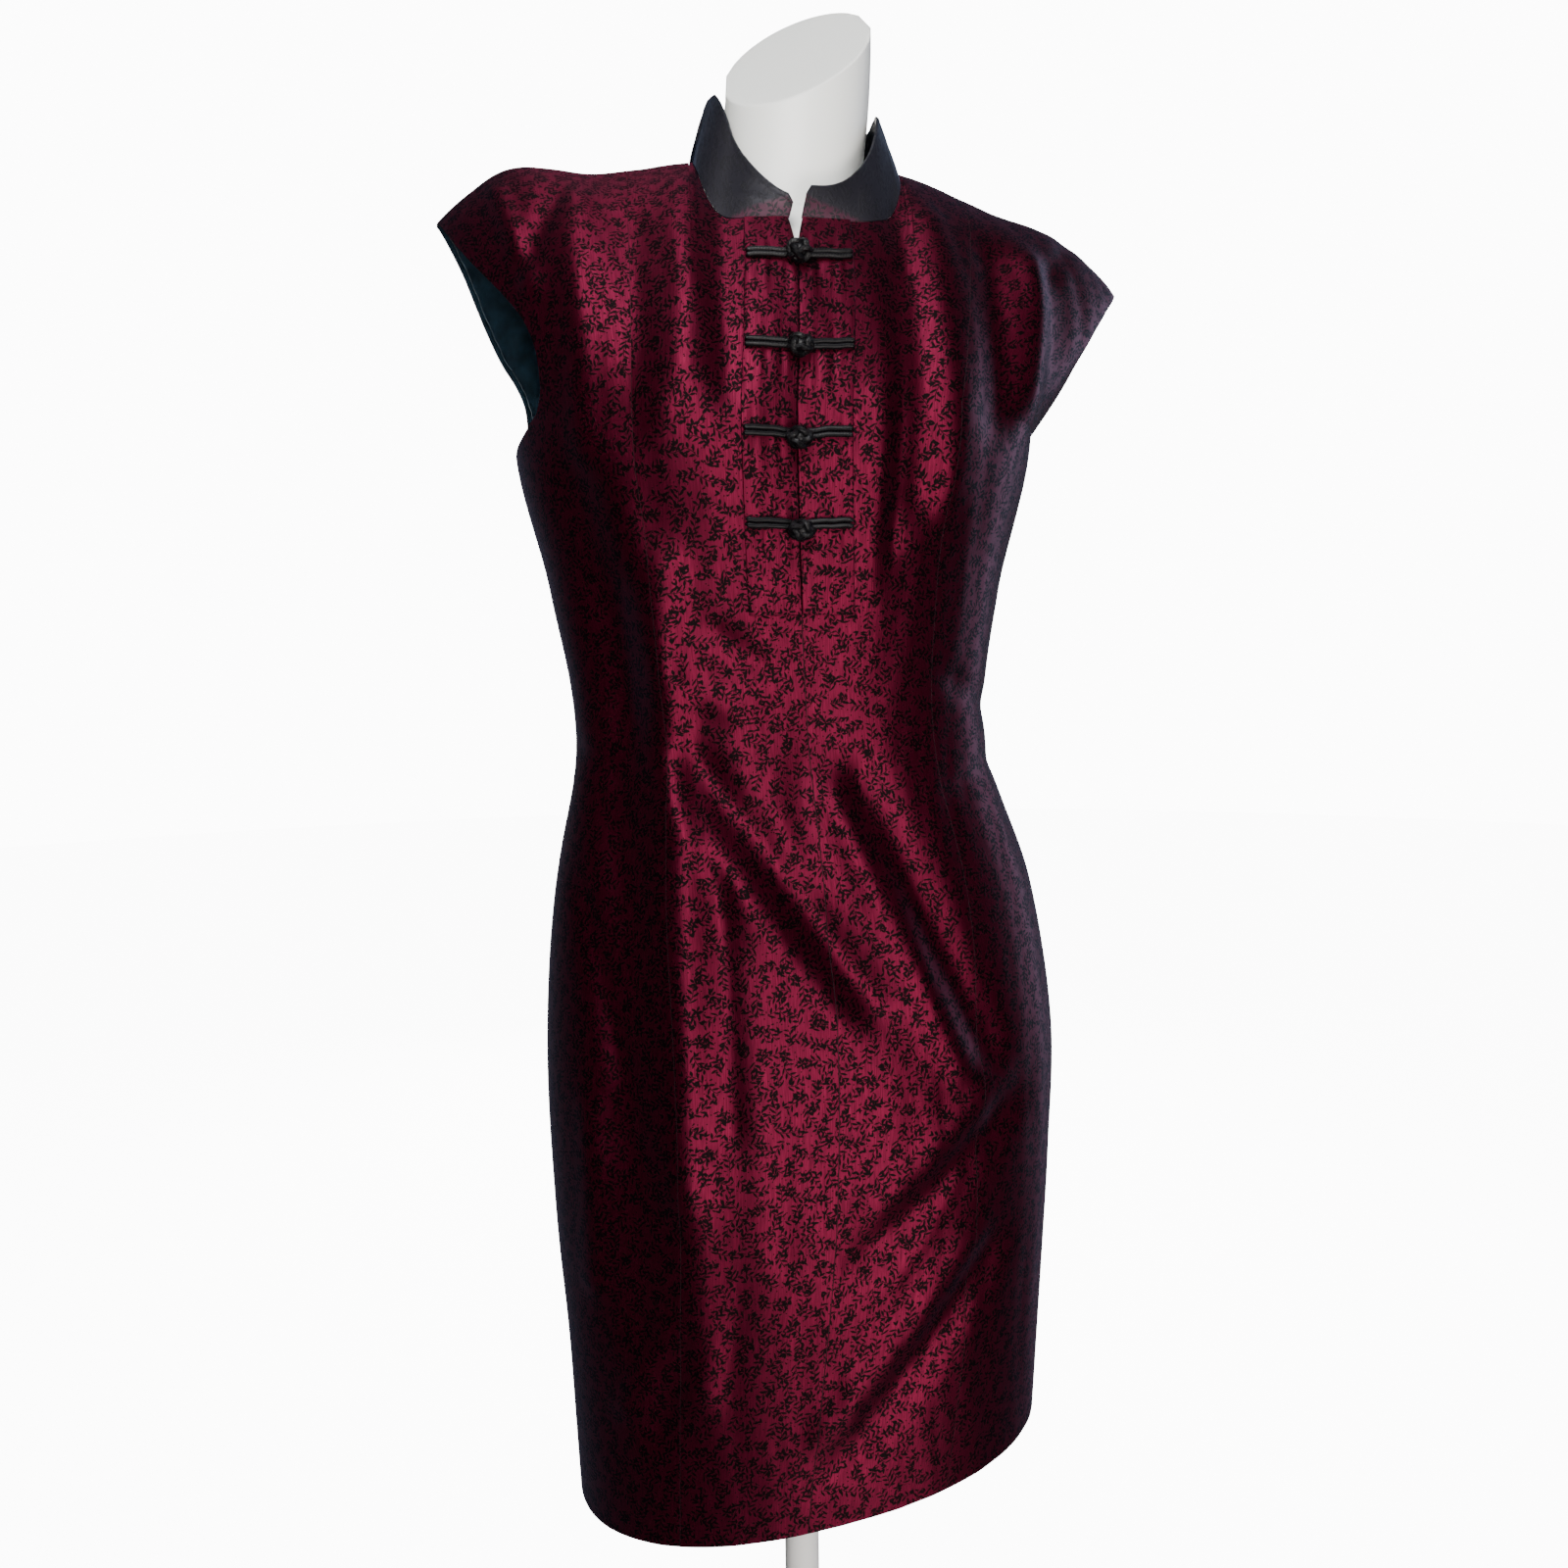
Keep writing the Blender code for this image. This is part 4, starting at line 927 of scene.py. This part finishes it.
def woven_edge_seam_shade():
    """Cut edge of the jacquard turned into the seam: the dull black warp with a trace of burgundy, partly its
    own colour and partly painted shade, so each seam shows as a dark line.
    """
    made, tree, shader = new_look("satin_edge_black_seam_shade")
    cut = add(tree, "UVMap", uv_map="cut")
    threads = add(tree, "TexNoise", {"Vector": cut, "Scale": 900.0, "Detail": 2.0})
    join(tree, shader, {
        "Base Color": add(tree, "Mix RGBA", {"Factor": threads, 6: "#0a0406", 7: "#2a0a15"}),
        "Roughness": 0.8, "Specular IOR Level": 0.2})
    return made


def ribbed(name, scale, distortion, rough, strength, distance):
    """A look with diagonal ribs in its gloss and height; its tree, shader, place in mm and ribs."""
    made, tree, shader = new_look(name)
    place = place_in_mm(tree)
    ribs = add(tree, "TexWave", {"Vector": place, "Scale": scale, "Distortion": distortion},
               wave_type="BANDS", bands_direction="DIAGONAL")
    join(tree, shader, {
        "Roughness": add(tree, "Math MULTIPLY_ADD", (ribs, *rough)),
        "Normal": add(tree, "Bump", {"Strength": strength, "Distance": distance, "Height": ribs})})
    return made, tree, shader, place, ribs


def lining_twill():
    """Navy twill of fine rayon: soft gloss, diagonal ribs drawn 0.8 mm apart, coarser than real ones; its
    lighter patches at random are painted highlight on the wrinkles.
    """
    made, tree, shader, place, _ = ribbed("rayon_twill_navy", 1 / 0.8 / 2, 0.4, (0.12, 0.40), 0.3, 0.0001)
    # Lighter patches: painted highlight, standing in for the gloss on the lining's wrinkles
    patches = add(tree, "TexNoise", {"Vector": place, "Scale": 0.08, "Detail": 3.0}, noise_dimensions="2D")
    join(tree, shader, {"Base Color": add(tree, "Mix RGBA", {"Factor": patches, 6: "#0b141d", 7: "#223c4c"})})
    return made


def cord_satin():
    """Black satin cord: a bias cover wound with fine slanting threads."""
    made, tree, shader, _, turns = ribbed("satin_cord_black", 0.35, 0.6, (0.15, 0.36), 0.5, 0.0002)
    join(tree, shader, {
        "Base Color": add(tree, "Mix RGBA", {"Factor": turns, 6: "#030304", 7: "#0a090c"}),
        "Specular IOR Level": 0.22})
    return made


def hard_finish(name, patch, grain, dark, light, strength, distance, rough_grain):
    """Hard surface with pale patches and a fine grain; patch and grain are a scale and a detail.

    The grain lifts the surface a little, and it or the patches make the gloss uneven.
    """
    made, tree, shader = new_look(name)
    at = add(tree, "TexCoord").outputs["Object"]
    patches = add(tree, "TexNoise", {"Vector": at, "Scale": patch[0], "Detail": patch[1]})
    grains = add(tree, "TexNoise", {"Vector": at, "Scale": grain[0], "Detail": grain[1]})
    join(tree, shader, {
        "Base Color": add(tree, "Mix RGBA", {"Factor": patches, 6: dark, 7: light}),
        "Roughness": add(tree, "Math MULTIPLY_ADD", (grains if rough_grain else patches, 0.2, 0.30)),
        "Normal": add(tree, "Bump", {"Strength": strength, "Distance": distance, "Height": grains})})
    return made


JACQUARD = jacquard()
# The collar's look is painted light: slate shade, and a burgundy shine at the front ends
COLLAR_SATIN_PAINTED_SHADE = collar_satin_painted_shade()
# Dark edge look for the rims: the warp at the cut edge, and painted shade in the seams
EDGE = woven_edge_seam_shade()
LINING = lining_twill()
CORD = cord_satin()
# White moulded plastic of the form, with faint handling marks
PLASTIC = hard_finish("moulded_plastic_white", (7.0, 2.0), (45.0, 5.0), "#e9ece6", "#f3f5f0",
                      0.08, 0.0005, True)
# White powder-coated steel of the stand: the coat's orange peel is about 1.5 mm across
ENAMEL = hard_finish("powder_coat_white", (5.0, 3.0), (650.0, 1.0), "#dfe1de", "#e9ebe8",
                     0.15, 0.0003, False)


def close_in(grid, edges, distance):
    """Move the named edges of a grid of points along the surface, towards the next row or column."""
    for edge in edges:
        first, second = {
            "start": (np.s_[:, 0], np.s_[:, 1]),
            "end": (np.s_[:, -1], np.s_[:, -2]),
            "bottom": (np.s_[0, :], np.s_[1, :]),
            "top": (np.s_[-1, :], np.s_[-2, :]),
        }[edge]
        way = grid[second] - grid[first]
        grid[first] += distance * way / np.linalg.norm(way, axis=-1, keepdims=True)


def panels():
    """Centre fronts, side fronts with the cap sleeves, and backs: thin walls on the cloth's surface.

    Their inner faces are the lining's cloth above the hem's turn-up, and their rims the cut edge, kept dark
    as painted shade in the seams.
    """
    grids = {"front_center_": (front_center_grid, front_center_middle),
             "front_side_": (front_side_grid, front_side_middle), "back_": (back_grid, back_middle)}
    seed = 10
    for name, left in SIDES:
        for part, (grid, middle) in grids.items():
            seed += 20
            turn, level = GRIDS[grid, left]
            point, normal = cloth(turn, level)
            across, up = across_and_up(point)
            lift = worn(point, turn) + seam_relief(across, up, seed)
            point += normal * lift[..., None]
            close_in(point, ["start", "end"], GAP / 2)
            if part == "front_center_":
                close_in(point, ["start"], GAP / 2)
            ridge = level[-1] > RIDGE - 1e-6
            point[-1, ridge, 1] += GAP / 2 if part == "back_" else -GAP / 2
            uv = on_cut(turn, level, middle(left), [seed * shift for shift in FIGURE_SHIFT])
            points, faces, uv = thin_shell(point, normal, CLOTH_WALL, uv)
            rim = faces.max(1) >= 2 * turn.size
            inner = ~rim & (faces.min(1) >= turn.size)
            lined = inner & (points[faces[:, 0], 2] > HEM_HEIGHT + HEM_TURN_UP)
            # The rims take the dark edge look: partly the cut edge's own colour, partly painted seam shade
            made = piece(part + name + "_cloth", points, faces, uv, [JACQUARD, LINING, EDGE],
                         np.where(rim, 2, np.where(lined, 1, 0)), [part + name])


def linings():
    """Lining inside each armhole: the panel's own surface moved in, with slanting wrinkles."""
    first_row = int(LINING_BOTTOM / ROW_SPACING)
    for name, left in SIDES:
        for part, grid in (("front", front_side_grid), ("back", back_grid)):
            turn, level = GRIDS[grid, left]
            used = np.s_[first_row:-LINING_ROWS_LEFT:2, LINING_COLUMNS[part]::2]
            point, normal = cloth(turn[used], level[used], -WALL - GAP)
            across, up = across_and_up(point)
            slant = across + 0.8 * up
            wrinkle = WRINKLE_RISE * (wave(slant, 0.019, 91) * (0.6 + 0.4 * wave(up, 0.06, 92)) - 1)
            point += normal * (wrinkle + worn(point, turn[used]))[..., None]
            close_in(point, ["end"], LINING_SET_BACK)
            points, faces, uv = thin_shell(point, normal, LINING_WALL, np.stack([across, up], -1))
            node = "lining_" + part + "_" + name
            made = piece(node + "_cloth", points, faces, uv, [LINING], None, [node])


def plackets():
    """Two strips on the centre fronts, either side of the opening, gathered a little between the frogs."""
    first_row = int(PLACKET_BOTTOM / ROW_SPACING)
    for name, left in SIDES:
        turn, level = GRIDS[front_center_grid, left]
        used = np.s_[first_row:, :PLACKET_COLUMNS + 1]
        point, normal = cloth(turn[used], level[used], GAP + WALL)
        across, up = across_and_up(point)
        height = point[..., 2]
        pull = np.zeros(across.shape)
        for k, frog in enumerate(FROG_HEIGHTS):
            near = np.exp(-((height - frog + 0.006) / 0.016) ** 2)
            pull += near * wave(across, 0.0085, 61 + k + 7 * left)
        lift = worn(point, turn[used]) + GATHER_RISE * pull
        edge = np.minimum(across, across[:, -1:] - across)
        for distance in (edge, up):
            lift -= STITCH_DEPTH * np.exp(-(distance / STITCH_WIDTH) ** 2)
        point += normal * lift[..., None]
        close_in(point, ["start", "top"], 2 * GAP)
        uv = on_cut(turn[used], level[used], front_center_middle(left), PLACKET_FIGURE[left])
        points, faces, uv = thin_shell(point, normal, CLOTH_WALL, uv)
        node = "placket_" + name
        made = piece(node + "_cloth", points, faces, uv, [JACQUARD], None, [node])


def collar():
    """Stand collar: a band on the necklines of the fronts and backs, its front corners rounded."""
    halves = []
    front_columns = PLACKET_COLUMNS + CORNER_COLUMNS
    for _, left in SIDES:
        front_turn, front_level = GRIDS[front_center_grid, left]
        back_turn, back_level = GRIDS[back_grid, left]
        turn = np.concatenate([front_turn[-1, :front_columns], back_turn[-1, BACK_NECK_COLUMNS::-1]])
        level = np.concatenate([front_level[-1, :front_columns], back_level[-1, BACK_NECK_COLUMNS::-1]])
        base, normal = cloth(turn, level)
        round_level = BUST + (RIDGE - BUST) * neck_share(turn, NECK_FRONT, ROUND_SQUARENESS)
        upper = cloth(turn, np.where(np.abs(turn) < 1, round_level, level))[0]
        way = np.abs(turn)
        around = np.where(way < 1, way / NECK_TURN, 2 - (2 - way) / NECK_TURN)
        halves.append((base, upper, normal, around))
    base, upper, normal, around = [
        np.concatenate([left, right[-2::-1]]) for left, right in zip(halves[0], halves[1])]
    steps = np.concatenate([[0.0], np.cumsum(np.linalg.norm(np.diff(base, axis=0), axis=1))])
    at = np.linspace(0, steps[-1], 221)
    on_left = np.interp(at, steps, (np.arange(len(steps)) <= len(steps) // 2).astype(float)) > 0.5
    base, upper, normal = [np.stack([np.interp(at, steps, some[:, k]) for k in range(3)], 1)
                           for some in (base, upper, normal)]
    around = np.interp(at, steps, around)
    inward = upper.mean(0) - upper
    inward[:, 2] = 0
    inward /= np.linalg.norm(inward, axis=1, keepdims=True)
    height = np.where(on_left, curve(COLLAR, 1, around), curve(COLLAR, 2, around))
    from_end = np.minimum(at, steps[-1] - at)
    corner = np.clip(1 - from_end / COLLAR_CORNER, 0, 1)
    height = height - COLLAR_CORNER * (1 - np.sqrt(1 - corner**2))
    lean = curve(COLLAR, 3, around)
    share = np.linspace(0, 1, 25)[:, None]
    grid = base + normal * 1.5 * GAP + (upper - base) * share[..., None]
    grid += inward * (lean * share**1.2)[..., None]
    grid[..., 0] += COLLAR_SHIFT * share
    grid[..., 2] += height * share + GAP
    close_in(grid, ["start", "end"], GAP)
    facing = np.repeat(-inward[None], len(share), 0)
    across, up = across_and_up(grid)
    ease = COLLAR_EASE * wave(across, 0.045, 71) * share
    grid += facing * ease[..., None]
    uv = np.stack([np.repeat(from_end[None], len(share), 0), height * share], -1)
    points, faces, uv = thin_shell(grid, facing, COLLAR_WALL, uv)
    made = piece("collar_cloth", points, faces, uv, [COLLAR_SATIN_PAINTED_SHADE], None, ["collar"])


def front_point(height, across):
    """Points and normals on the placket's face, at heights and distances across the centre."""
    level = np.array([level_at(h) for h in np.atleast_1d(height)])
    way = np.where(across > 0, turn_of(across, level, True), turn_of(across, level, False))
    turn = centre_turn(level) + way
    return cloth(turn, level, 2 * GAP + WALL)


def tube(path, up, radius, sides, closed=False):
    """Points, quads and UV of a round cord along a path; its section starts from the directions in up."""
    ahead = np.roll(path, -1, 0) - np.roll(path, 1, 0)
    if not closed:
        ahead[0], ahead[-1] = path[1] - path[0], path[-1] - path[-2]
    ahead /= np.linalg.norm(ahead, axis=1, keepdims=True)
    across = np.cross(ahead, up)
    across /= np.linalg.norm(across, axis=1, keepdims=True)
    above = np.cross(across, ahead)
    angle = np.linspace(0, 2 * math.pi, sides, endpoint=False)
    radius = np.broadcast_to(radius, (len(path),))
    points = path[:, None] + radius[:, None, None] * (
        np.cos(angle)[None, :, None] * above[:, None] + np.sin(angle)[None, :, None] * across[:, None])
    length = np.concatenate([[0.0], np.cumsum(np.linalg.norm(np.diff(path, axis=0), axis=1))])
    uv = np.stack([np.repeat(length[:, None], sides, 1),
                   np.repeat(angle[None] * CORD_RADIUS, len(path), 0)], -1)
    rows = len(path)
    index = np.arange(rows * sides).reshape(rows, sides)
    if closed:
        index = np.concatenate([index, index[:1]])
    after = np.roll(index, -1, 1)
    faces = np.stack([index[:-1], index[1:], after[1:], after[:-1]], -1).reshape(-1, 4)
    return points.reshape(-1, 3), faces, uv.reshape(-1, 2)


def joined(parts):
    """Several sets of points, quads and UV as one."""
    points, faces, uvs, first = [], [], [], 0
    for some, quads, uv in parts:
        points.append(some)
        faces.append(quads + first)
        uvs.append(uv)
        first += len(some)
    return np.concatenate(points), np.concatenate(faces), np.concatenate(uvs)


def frogs():
    """Four frogs: two cords side by side on each side of the opening, and a ball knot over it."""
    for number, frog in enumerate(FROG_HEIGHTS, 1):
        for name, left in SIDES:
            sign = 1 if left else -1
            share = np.linspace(0, 1, 40)
            way_in = (CORD_FROM_CENTRE - PLACKET_HALF_WIDTH) * share
            across = sign * (PLACKET_HALF_WIDTH - CORD_FROM_EDGE + way_in)
            parts = []
            for side in (1, -1):
                spread = side * CORD_SPREAD * (1 - 0.25 * share**6)
                sag = STRAP_SAG * share**2 + 0.0004 * wave(share, 0.7, number * 5 + left)
                point, normal = front_point(frog - sag + spread, across)
                ends = smooth_step(share / 0.05) * smooth_step((1 - share) / 0.03)
                radius = CORD_RADIUS * (0.35 + 0.65 * np.sqrt(np.clip(ends, 0, 1)))
                point = point + normal * (CORD_RADIUS * (0.2 + 0.8 * ends) + GAP)[:, None]
                parts.append(tube(point, normal, radius, 14))
            points, faces, uv = joined(parts)
            points[:, 2] += HEM_HEIGHT
            node = "frog_%d_cord_%s" % (number, name)
            piece(node + "_satin", points, faces, uv, [CORD], None, [node])
        point, normal = front_point(frog - KNOT_DROP, np.array([0.0]))
        knot(number, point[0] + normal[0] * KNOT_RADIUS, normal[0])


def knot(number, centre, normal):
    """Ball knot: one cord over a ball, three times round with four bends, over and under itself.

    Longitude a runs from 0 to 6 pi, latitude is 52 degrees times cos(4a/3), and the cord's distance
    from the centre goes up and down with sin(8a/3), so that each crossing has one strand on top.
    Pulled tight by its two cords, the ball is KNOT_WIDENED times as wide as it is high.
    """
    around = np.linspace(0, 6 * math.pi, 361)[:-1]
    latitude = KNOT_LATITUDE * np.cos(4 * around / 3)
    distance = KNOT_RADIUS - 0.0018 + KNOT_WEAVE * np.sin(8 * around / 3)
    flat = np.cos(latitude)
    path = np.stack([flat * np.cos(around), flat * np.sin(around), np.sin(latitude)], 1)
    cord = tube(path * distance[:, None], path, KNOT_CORD, 10, True)
    turn = np.linspace(0, 2 * math.pi, 24, endpoint=False)
    rise = np.linspace(-math.pi / 2 + 0.02, math.pi / 2 - 0.02, 13)
    core = (KNOT_RADIUS - 0.0024) * np.stack([
        np.cos(rise)[:, None] * np.cos(turn), np.cos(rise)[:, None] * np.sin(turn),
        np.repeat(np.sin(rise)[:, None], len(turn), 1)], -1)
    quads = tidy_faces(len(rise), len(turn), 0, True)
    ball = (core.reshape(-1, 3), quads, core.reshape(-1, 3)[:, :2])
    points, faces, uv = joined([cord, ball])
    turned = Vector(normal).to_track_quat("Z", "Y").to_matrix() @ Matrix.Rotation(0.5 * number, 3, "Z")
    points = points @ np.array(turned).T * np.array([KNOT_WIDENED, 1.0, 1.0]) + centre
    points[:, 2] += HEM_HEIGHT
    node = "frog_%d_knot" % number
    piece(node + "_satin", points, faces, uv, [CORD], None, [node])


def dress_form():
    """Limbless form: the smooth body set in from the cloth, with its neck cut off on a slant."""
    half = np.concatenate([np.linspace(0, FORM_NECK_TURN, 25), np.linspace(FORM_NECK_TURN, 1, 29)[1:]])
    front = np.concatenate([-half[::-1], half[1:]])
    low = np.linspace(FORM_BOTTOM, BUST, 90)
    high = np.linspace(0, 1, 61)[1:]
    sheets = []
    for face in ("front", "back"):
        turn = front if face == "front" else np.where(front >= 0, 2 - front, -2 - front)
        centre_share = FORM_NECK_FRONT if face == "front" else FORM_NECK_BACK
        top = neck_share(front, centre_share, ROUND_SQUARENESS, FORM_NECK_TURN)
        level = np.concatenate([
            np.repeat(low[:, None], len(front), 1),
            BUST + (RIDGE - BUST) * high[:, None] * top[None, :],
        ])
        turn = np.repeat(turn[None], len(level), 0)
        inset = np.interp(level, FORM_INSET[:, 0], FORM_INSET[:, 1]) + hollows(turn, level)
        grid = smooth_body(turn, level, FORM_SHOULDER)
        grid -= outward(turn, level, FORM_SHOULDER) * inset[..., None]
        sheets.append(grid)
    seam = (sheets[0][:, [0, -1]] + sheets[1][:, [0, -1]]) / 2
    shoulder_line = np.abs(front) >= FORM_NECK_TURN - 1e-9
    ridge = (sheets[0][-1] + sheets[1][-1]) / 2
    for grid in sheets:
        grid[:, [0, -1]] = seam
        grid[-1, shoulder_line] = ridge[shoulder_line]
    parts = []
    for grid, flip in zip(sheets, (False, True)):
        quads = tidy_faces(grid.shape[0], grid.shape[1], 0, False, flip)
        parts.append((grid.reshape(-1, 3), quads, grid.reshape(-1, 3)[:, [0, 2]]))
    neck = np.abs(front) <= FORM_NECK_TURN + 1e-9
    root = np.concatenate([sheets[0][-1][neck], sheets[1][-1][neck][-2:0:-1]])
    parts.append(neck_surface(root))
    bottom = np.concatenate([sheets[0][0], sheets[1][0][-2:0:-1]])
    shares = np.array([1.0, 0.97, 0.6, 0.2, 0.0])[:, None, None]
    middle = bottom.mean(0)
    plate = middle + (bottom - middle) * shares
    quads = tidy_faces(len(shares), len(bottom), 0, True, True)
    parts.append((plate.reshape(-1, 3), quads, plate.reshape(-1, 3)[:, :2]))
    points, faces, uv = joined(parts)
    points[:, 2] += HEM_HEIGHT
    made = piece("form_torso_plastic", points, faces, uv, [PLASTIC], None, ["form_torso"])
    merge(made)


def hollows(turn, level):
    """Depth of the form's hollows, alike on both sides: Gaussians in turn and level."""
    total = np.zeros(turn.shape)
    for depth, at_turn, at_level, half_turn, half_level in FORM_HOLLOWS:
        spread = ((np.abs(turn) - at_turn) / half_turn) ** 2 + ((level - at_level) / half_level) ** 2
        total += depth * np.exp(-spread)
    return total


def neck_surface(root):
    """Neck from the torso's opening to the slanting cut: rings that pass to an ellipse, a rim, a flat cut."""
    centre = root.mean(0)
    angle = np.arctan2(root[:, 0] - centre[0], -(root[:, 1] - centre[1]))
    flat = np.stack([NECK_RADII[0] * np.sin(angle), -NECK_RADII[1] * np.cos(angle)], 1)
    tall = flat @ np.array(NECK_SLANT)
    cut = np.concatenate([flat, tall[:, None]], 1) + np.array(NECK_CENTRE)
    share = np.linspace(0, 1, 40)[:, None, None]
    spread = 1 - (1 - share) ** 2
    rows = root + (cut - root) * np.concatenate([spread, spread, share], -1)
    middle = np.array(NECK_CENTRE)
    rim = []
    for turn in np.linspace(0, 1, 7)[1:]:
        inward = NECK_RIM * (1 - math.cos(turn * math.pi / 2))
        down = NECK_RIM * (1 - math.sin(turn * math.pi / 2))
        size = 1 - inward / NECK_RADII[0]
        ring_points = middle + (cut - middle) * size
        ring_points[:, 2] -= down
        rim.append(ring_points)
    rows[-1, :, 2] -= NECK_RIM
    rows[-2, :, 2] -= NECK_RIM * 0.6
    rows[-3, :, 2] -= NECK_RIM * 0.2
    lid = [middle + (rim[-1] - middle) * size for size in (0.9, 0.6, 0.3, 0.0)]
    grid = np.concatenate([rows, np.array(rim), np.array(lid)])
    return grid.reshape(-1, 3), tidy_faces(len(grid), len(root), 0, True), grid.reshape(-1, 3)[:, :2]


def merge(made):
    """Join the points that meet at seams and poles, and turn every face outwards."""
    shape = bmesh.new()
    shape.from_mesh(made.data)
    bmesh.ops.remove_doubles(shape, verts=shape.verts, dist=0.00005)
    bmesh.ops.recalc_face_normals(shape, faces=shape.faces)
    if shape.calc_volume(signed=True) < 0:
        bmesh.ops.reverse_faces(shape, faces=shape.faces)
    shape.to_mesh(made.data)
    shape.free()


def lathe(name, profile, node):
    """Round piece of the stand on the pole's axis: a profile of radius and height turned right round."""
    profile = np.array(profile)
    angle = np.linspace(0, 2 * math.pi, 96, endpoint=False)
    grid = np.stack([profile[:, :1] * np.cos(angle), profile[:, :1] * np.sin(angle),
                     np.repeat(profile[:, 1:], len(angle), 1)], -1)
    points = grid.reshape(-1, 3)
    quads = tidy_faces(len(profile), len(angle), 0, True)
    made = piece(name, points, quads, points[:, :2], [ENAMEL], None, [node])
    merge(made)
    made.data.set_sharp_from_angle(angle=STAND_SHARP_EDGE)


def stand():
    """Tube under the form with a socket at its foot, and a round plate with a rounded rim."""
    top = HEM_HEIGHT + FORM_BOTTOM - GAP
    foot = BASE_THICKNESS + GAP
    socket = [(0, 0), (SOCKET_RADIUS - 0.001, 0), (SOCKET_RADIUS, 0.001), (SOCKET_RADIUS, 0.020),
              (SOCKET_RADIUS - 0.001, 0.0215), (POLE_RADIUS + 0.0005, 0.0225), (POLE_RADIUS, 0.024)]
    tube_top = [(POLE_RADIUS, top - 0.001), (POLE_RADIUS - 0.001, top), (0, top)]
    lathe("stand_pole_tube", [(radius, foot + up) for radius, up in socket] + tube_top,
          "stand_pole")
    bend = BASE_THICKNESS / 2
    rim = [(BASE_RADIUS - bend * (1 - math.sin(t)), bend - bend * math.cos(t))
           for t in np.linspace(0, math.pi, 13)]
    lathe("stand_base_plate", [(0, 0)] + rim + [(0.03, BASE_THICKNESS), (0, BASE_THICKNESS)],
          "stand_base")


def stage_floor():
    """Plain pale floor, a disc wide enough for every view, that glows as pale as the surround."""
    mesh = bpy.data.meshes.new("floor")
    angle = np.linspace(0, 2 * math.pi, 96, endpoint=False)
    points = np.stack([FLOOR_RADIUS * np.cos(angle), FLOOR_RADIUS * np.sin(angle), np.full(96, -0.0005)], 1)
    mesh.from_pydata(points.tolist(), [], [list(range(96))])
    made, tree, shader = new_look("painted_floor")
    at = add(tree, "TexCoord").outputs["Object"]
    soft = add(tree, "TexNoise", {"Vector": at, "Scale": 1.5, "Detail": 2.0})
    join(tree, shader, {
        "Base Color": add(tree, "Mix RGBA", {"Factor": soft, 6: "#f2f2f1", 7: "#f7f7f6"}),
        "Roughness": 0.85, "Emission Color": "#ffffff", "Emission Strength": 11.2})
    mesh.materials.append(made)
    floor = bpy.data.objects.new("floor", mesh)
    bpy.context.scene.collection.objects.link(floor)
    floor.visible_glossy = False
    floor.visible_diffuse = False


def softbox(name, place, aim, width, height, power, colour, beam):
    """Area light at a place, turned to a point, that throws a beam of so many degrees."""
    lamp = bpy.data.lights.new(name, "AREA")
    lamp.shape = "RECTANGLE"
    lamp.size = width
    lamp.size_y = height
    lamp.energy = power
    lamp.color = linear(colour)[:3]
    lamp.spread = math.radians(beam)
    made = bpy.data.objects.new(name, lamp)
    made.visible_camera = False
    made.location = place
    made.rotation_euler = (Vector(aim) - Vector(place)).to_track_quat("-Z", "Y").to_euler()
    bpy.context.scene.collection.objects.link(made)


def camera():
    """Camera at the photo's place: a wide lens close to the dress, a little to the wearer's right."""
    yaw, pitch, roll = [math.radians(angle) for angle in CAMERA_ANGLES]
    ahead = Vector((math.sin(yaw) * math.cos(pitch), math.cos(yaw) * math.cos(pitch), -math.sin(pitch)))
    right = Vector((math.cos(yaw), -math.sin(yaw), 0))
    up = right.cross(ahead)
    across = math.cos(roll) * right + math.sin(roll) * up
    above = -math.sin(roll) * right + math.cos(roll) * up
    lens = bpy.data.cameras.new("camera")
    lens.lens = LENS
    lens.sensor_width = SENSOR
    lens.clip_start = 0.02
    made = bpy.data.objects.new("camera", lens)
    turned = Matrix((across, above, -ahead)).transposed().to_4x4()
    made.matrix_world = Matrix.Translation(CAMERA_PLACE) @ turned
    bpy.context.scene.collection.objects.link(made)
    bpy.context.scene.camera = made


def light():
    """Soft studio light: a narrow key from above, a low and a top softbox, a cool one at the side,
    one behind, and a dim surround that only the camera sees as white.
    """
    for name, settings in LIGHTS.items():
        softbox(name, *settings)
    world = bpy.data.worlds.new("studio")
    world.use_nodes = True
    tree = world.node_tree
    dim = tree.nodes["Background"]
    join(tree, dim, {"Color": "#9aa0a8", "Strength": 0.24})
    pale = add(tree, "Background", {"Color": "#ffffff", "Strength": 12.0})
    path = add(tree, "LightPath")
    both = add(tree, "MixShader", (path.outputs["Is Camera Ray"], dim, pale))
    join(tree, tree.nodes["World Output"], {"Surface": both})
    bpy.context.scene.world = world


panels()
linings()
plackets()
collar()
frogs()
dress_form()
stand()
stage_floor()
light()
camera()
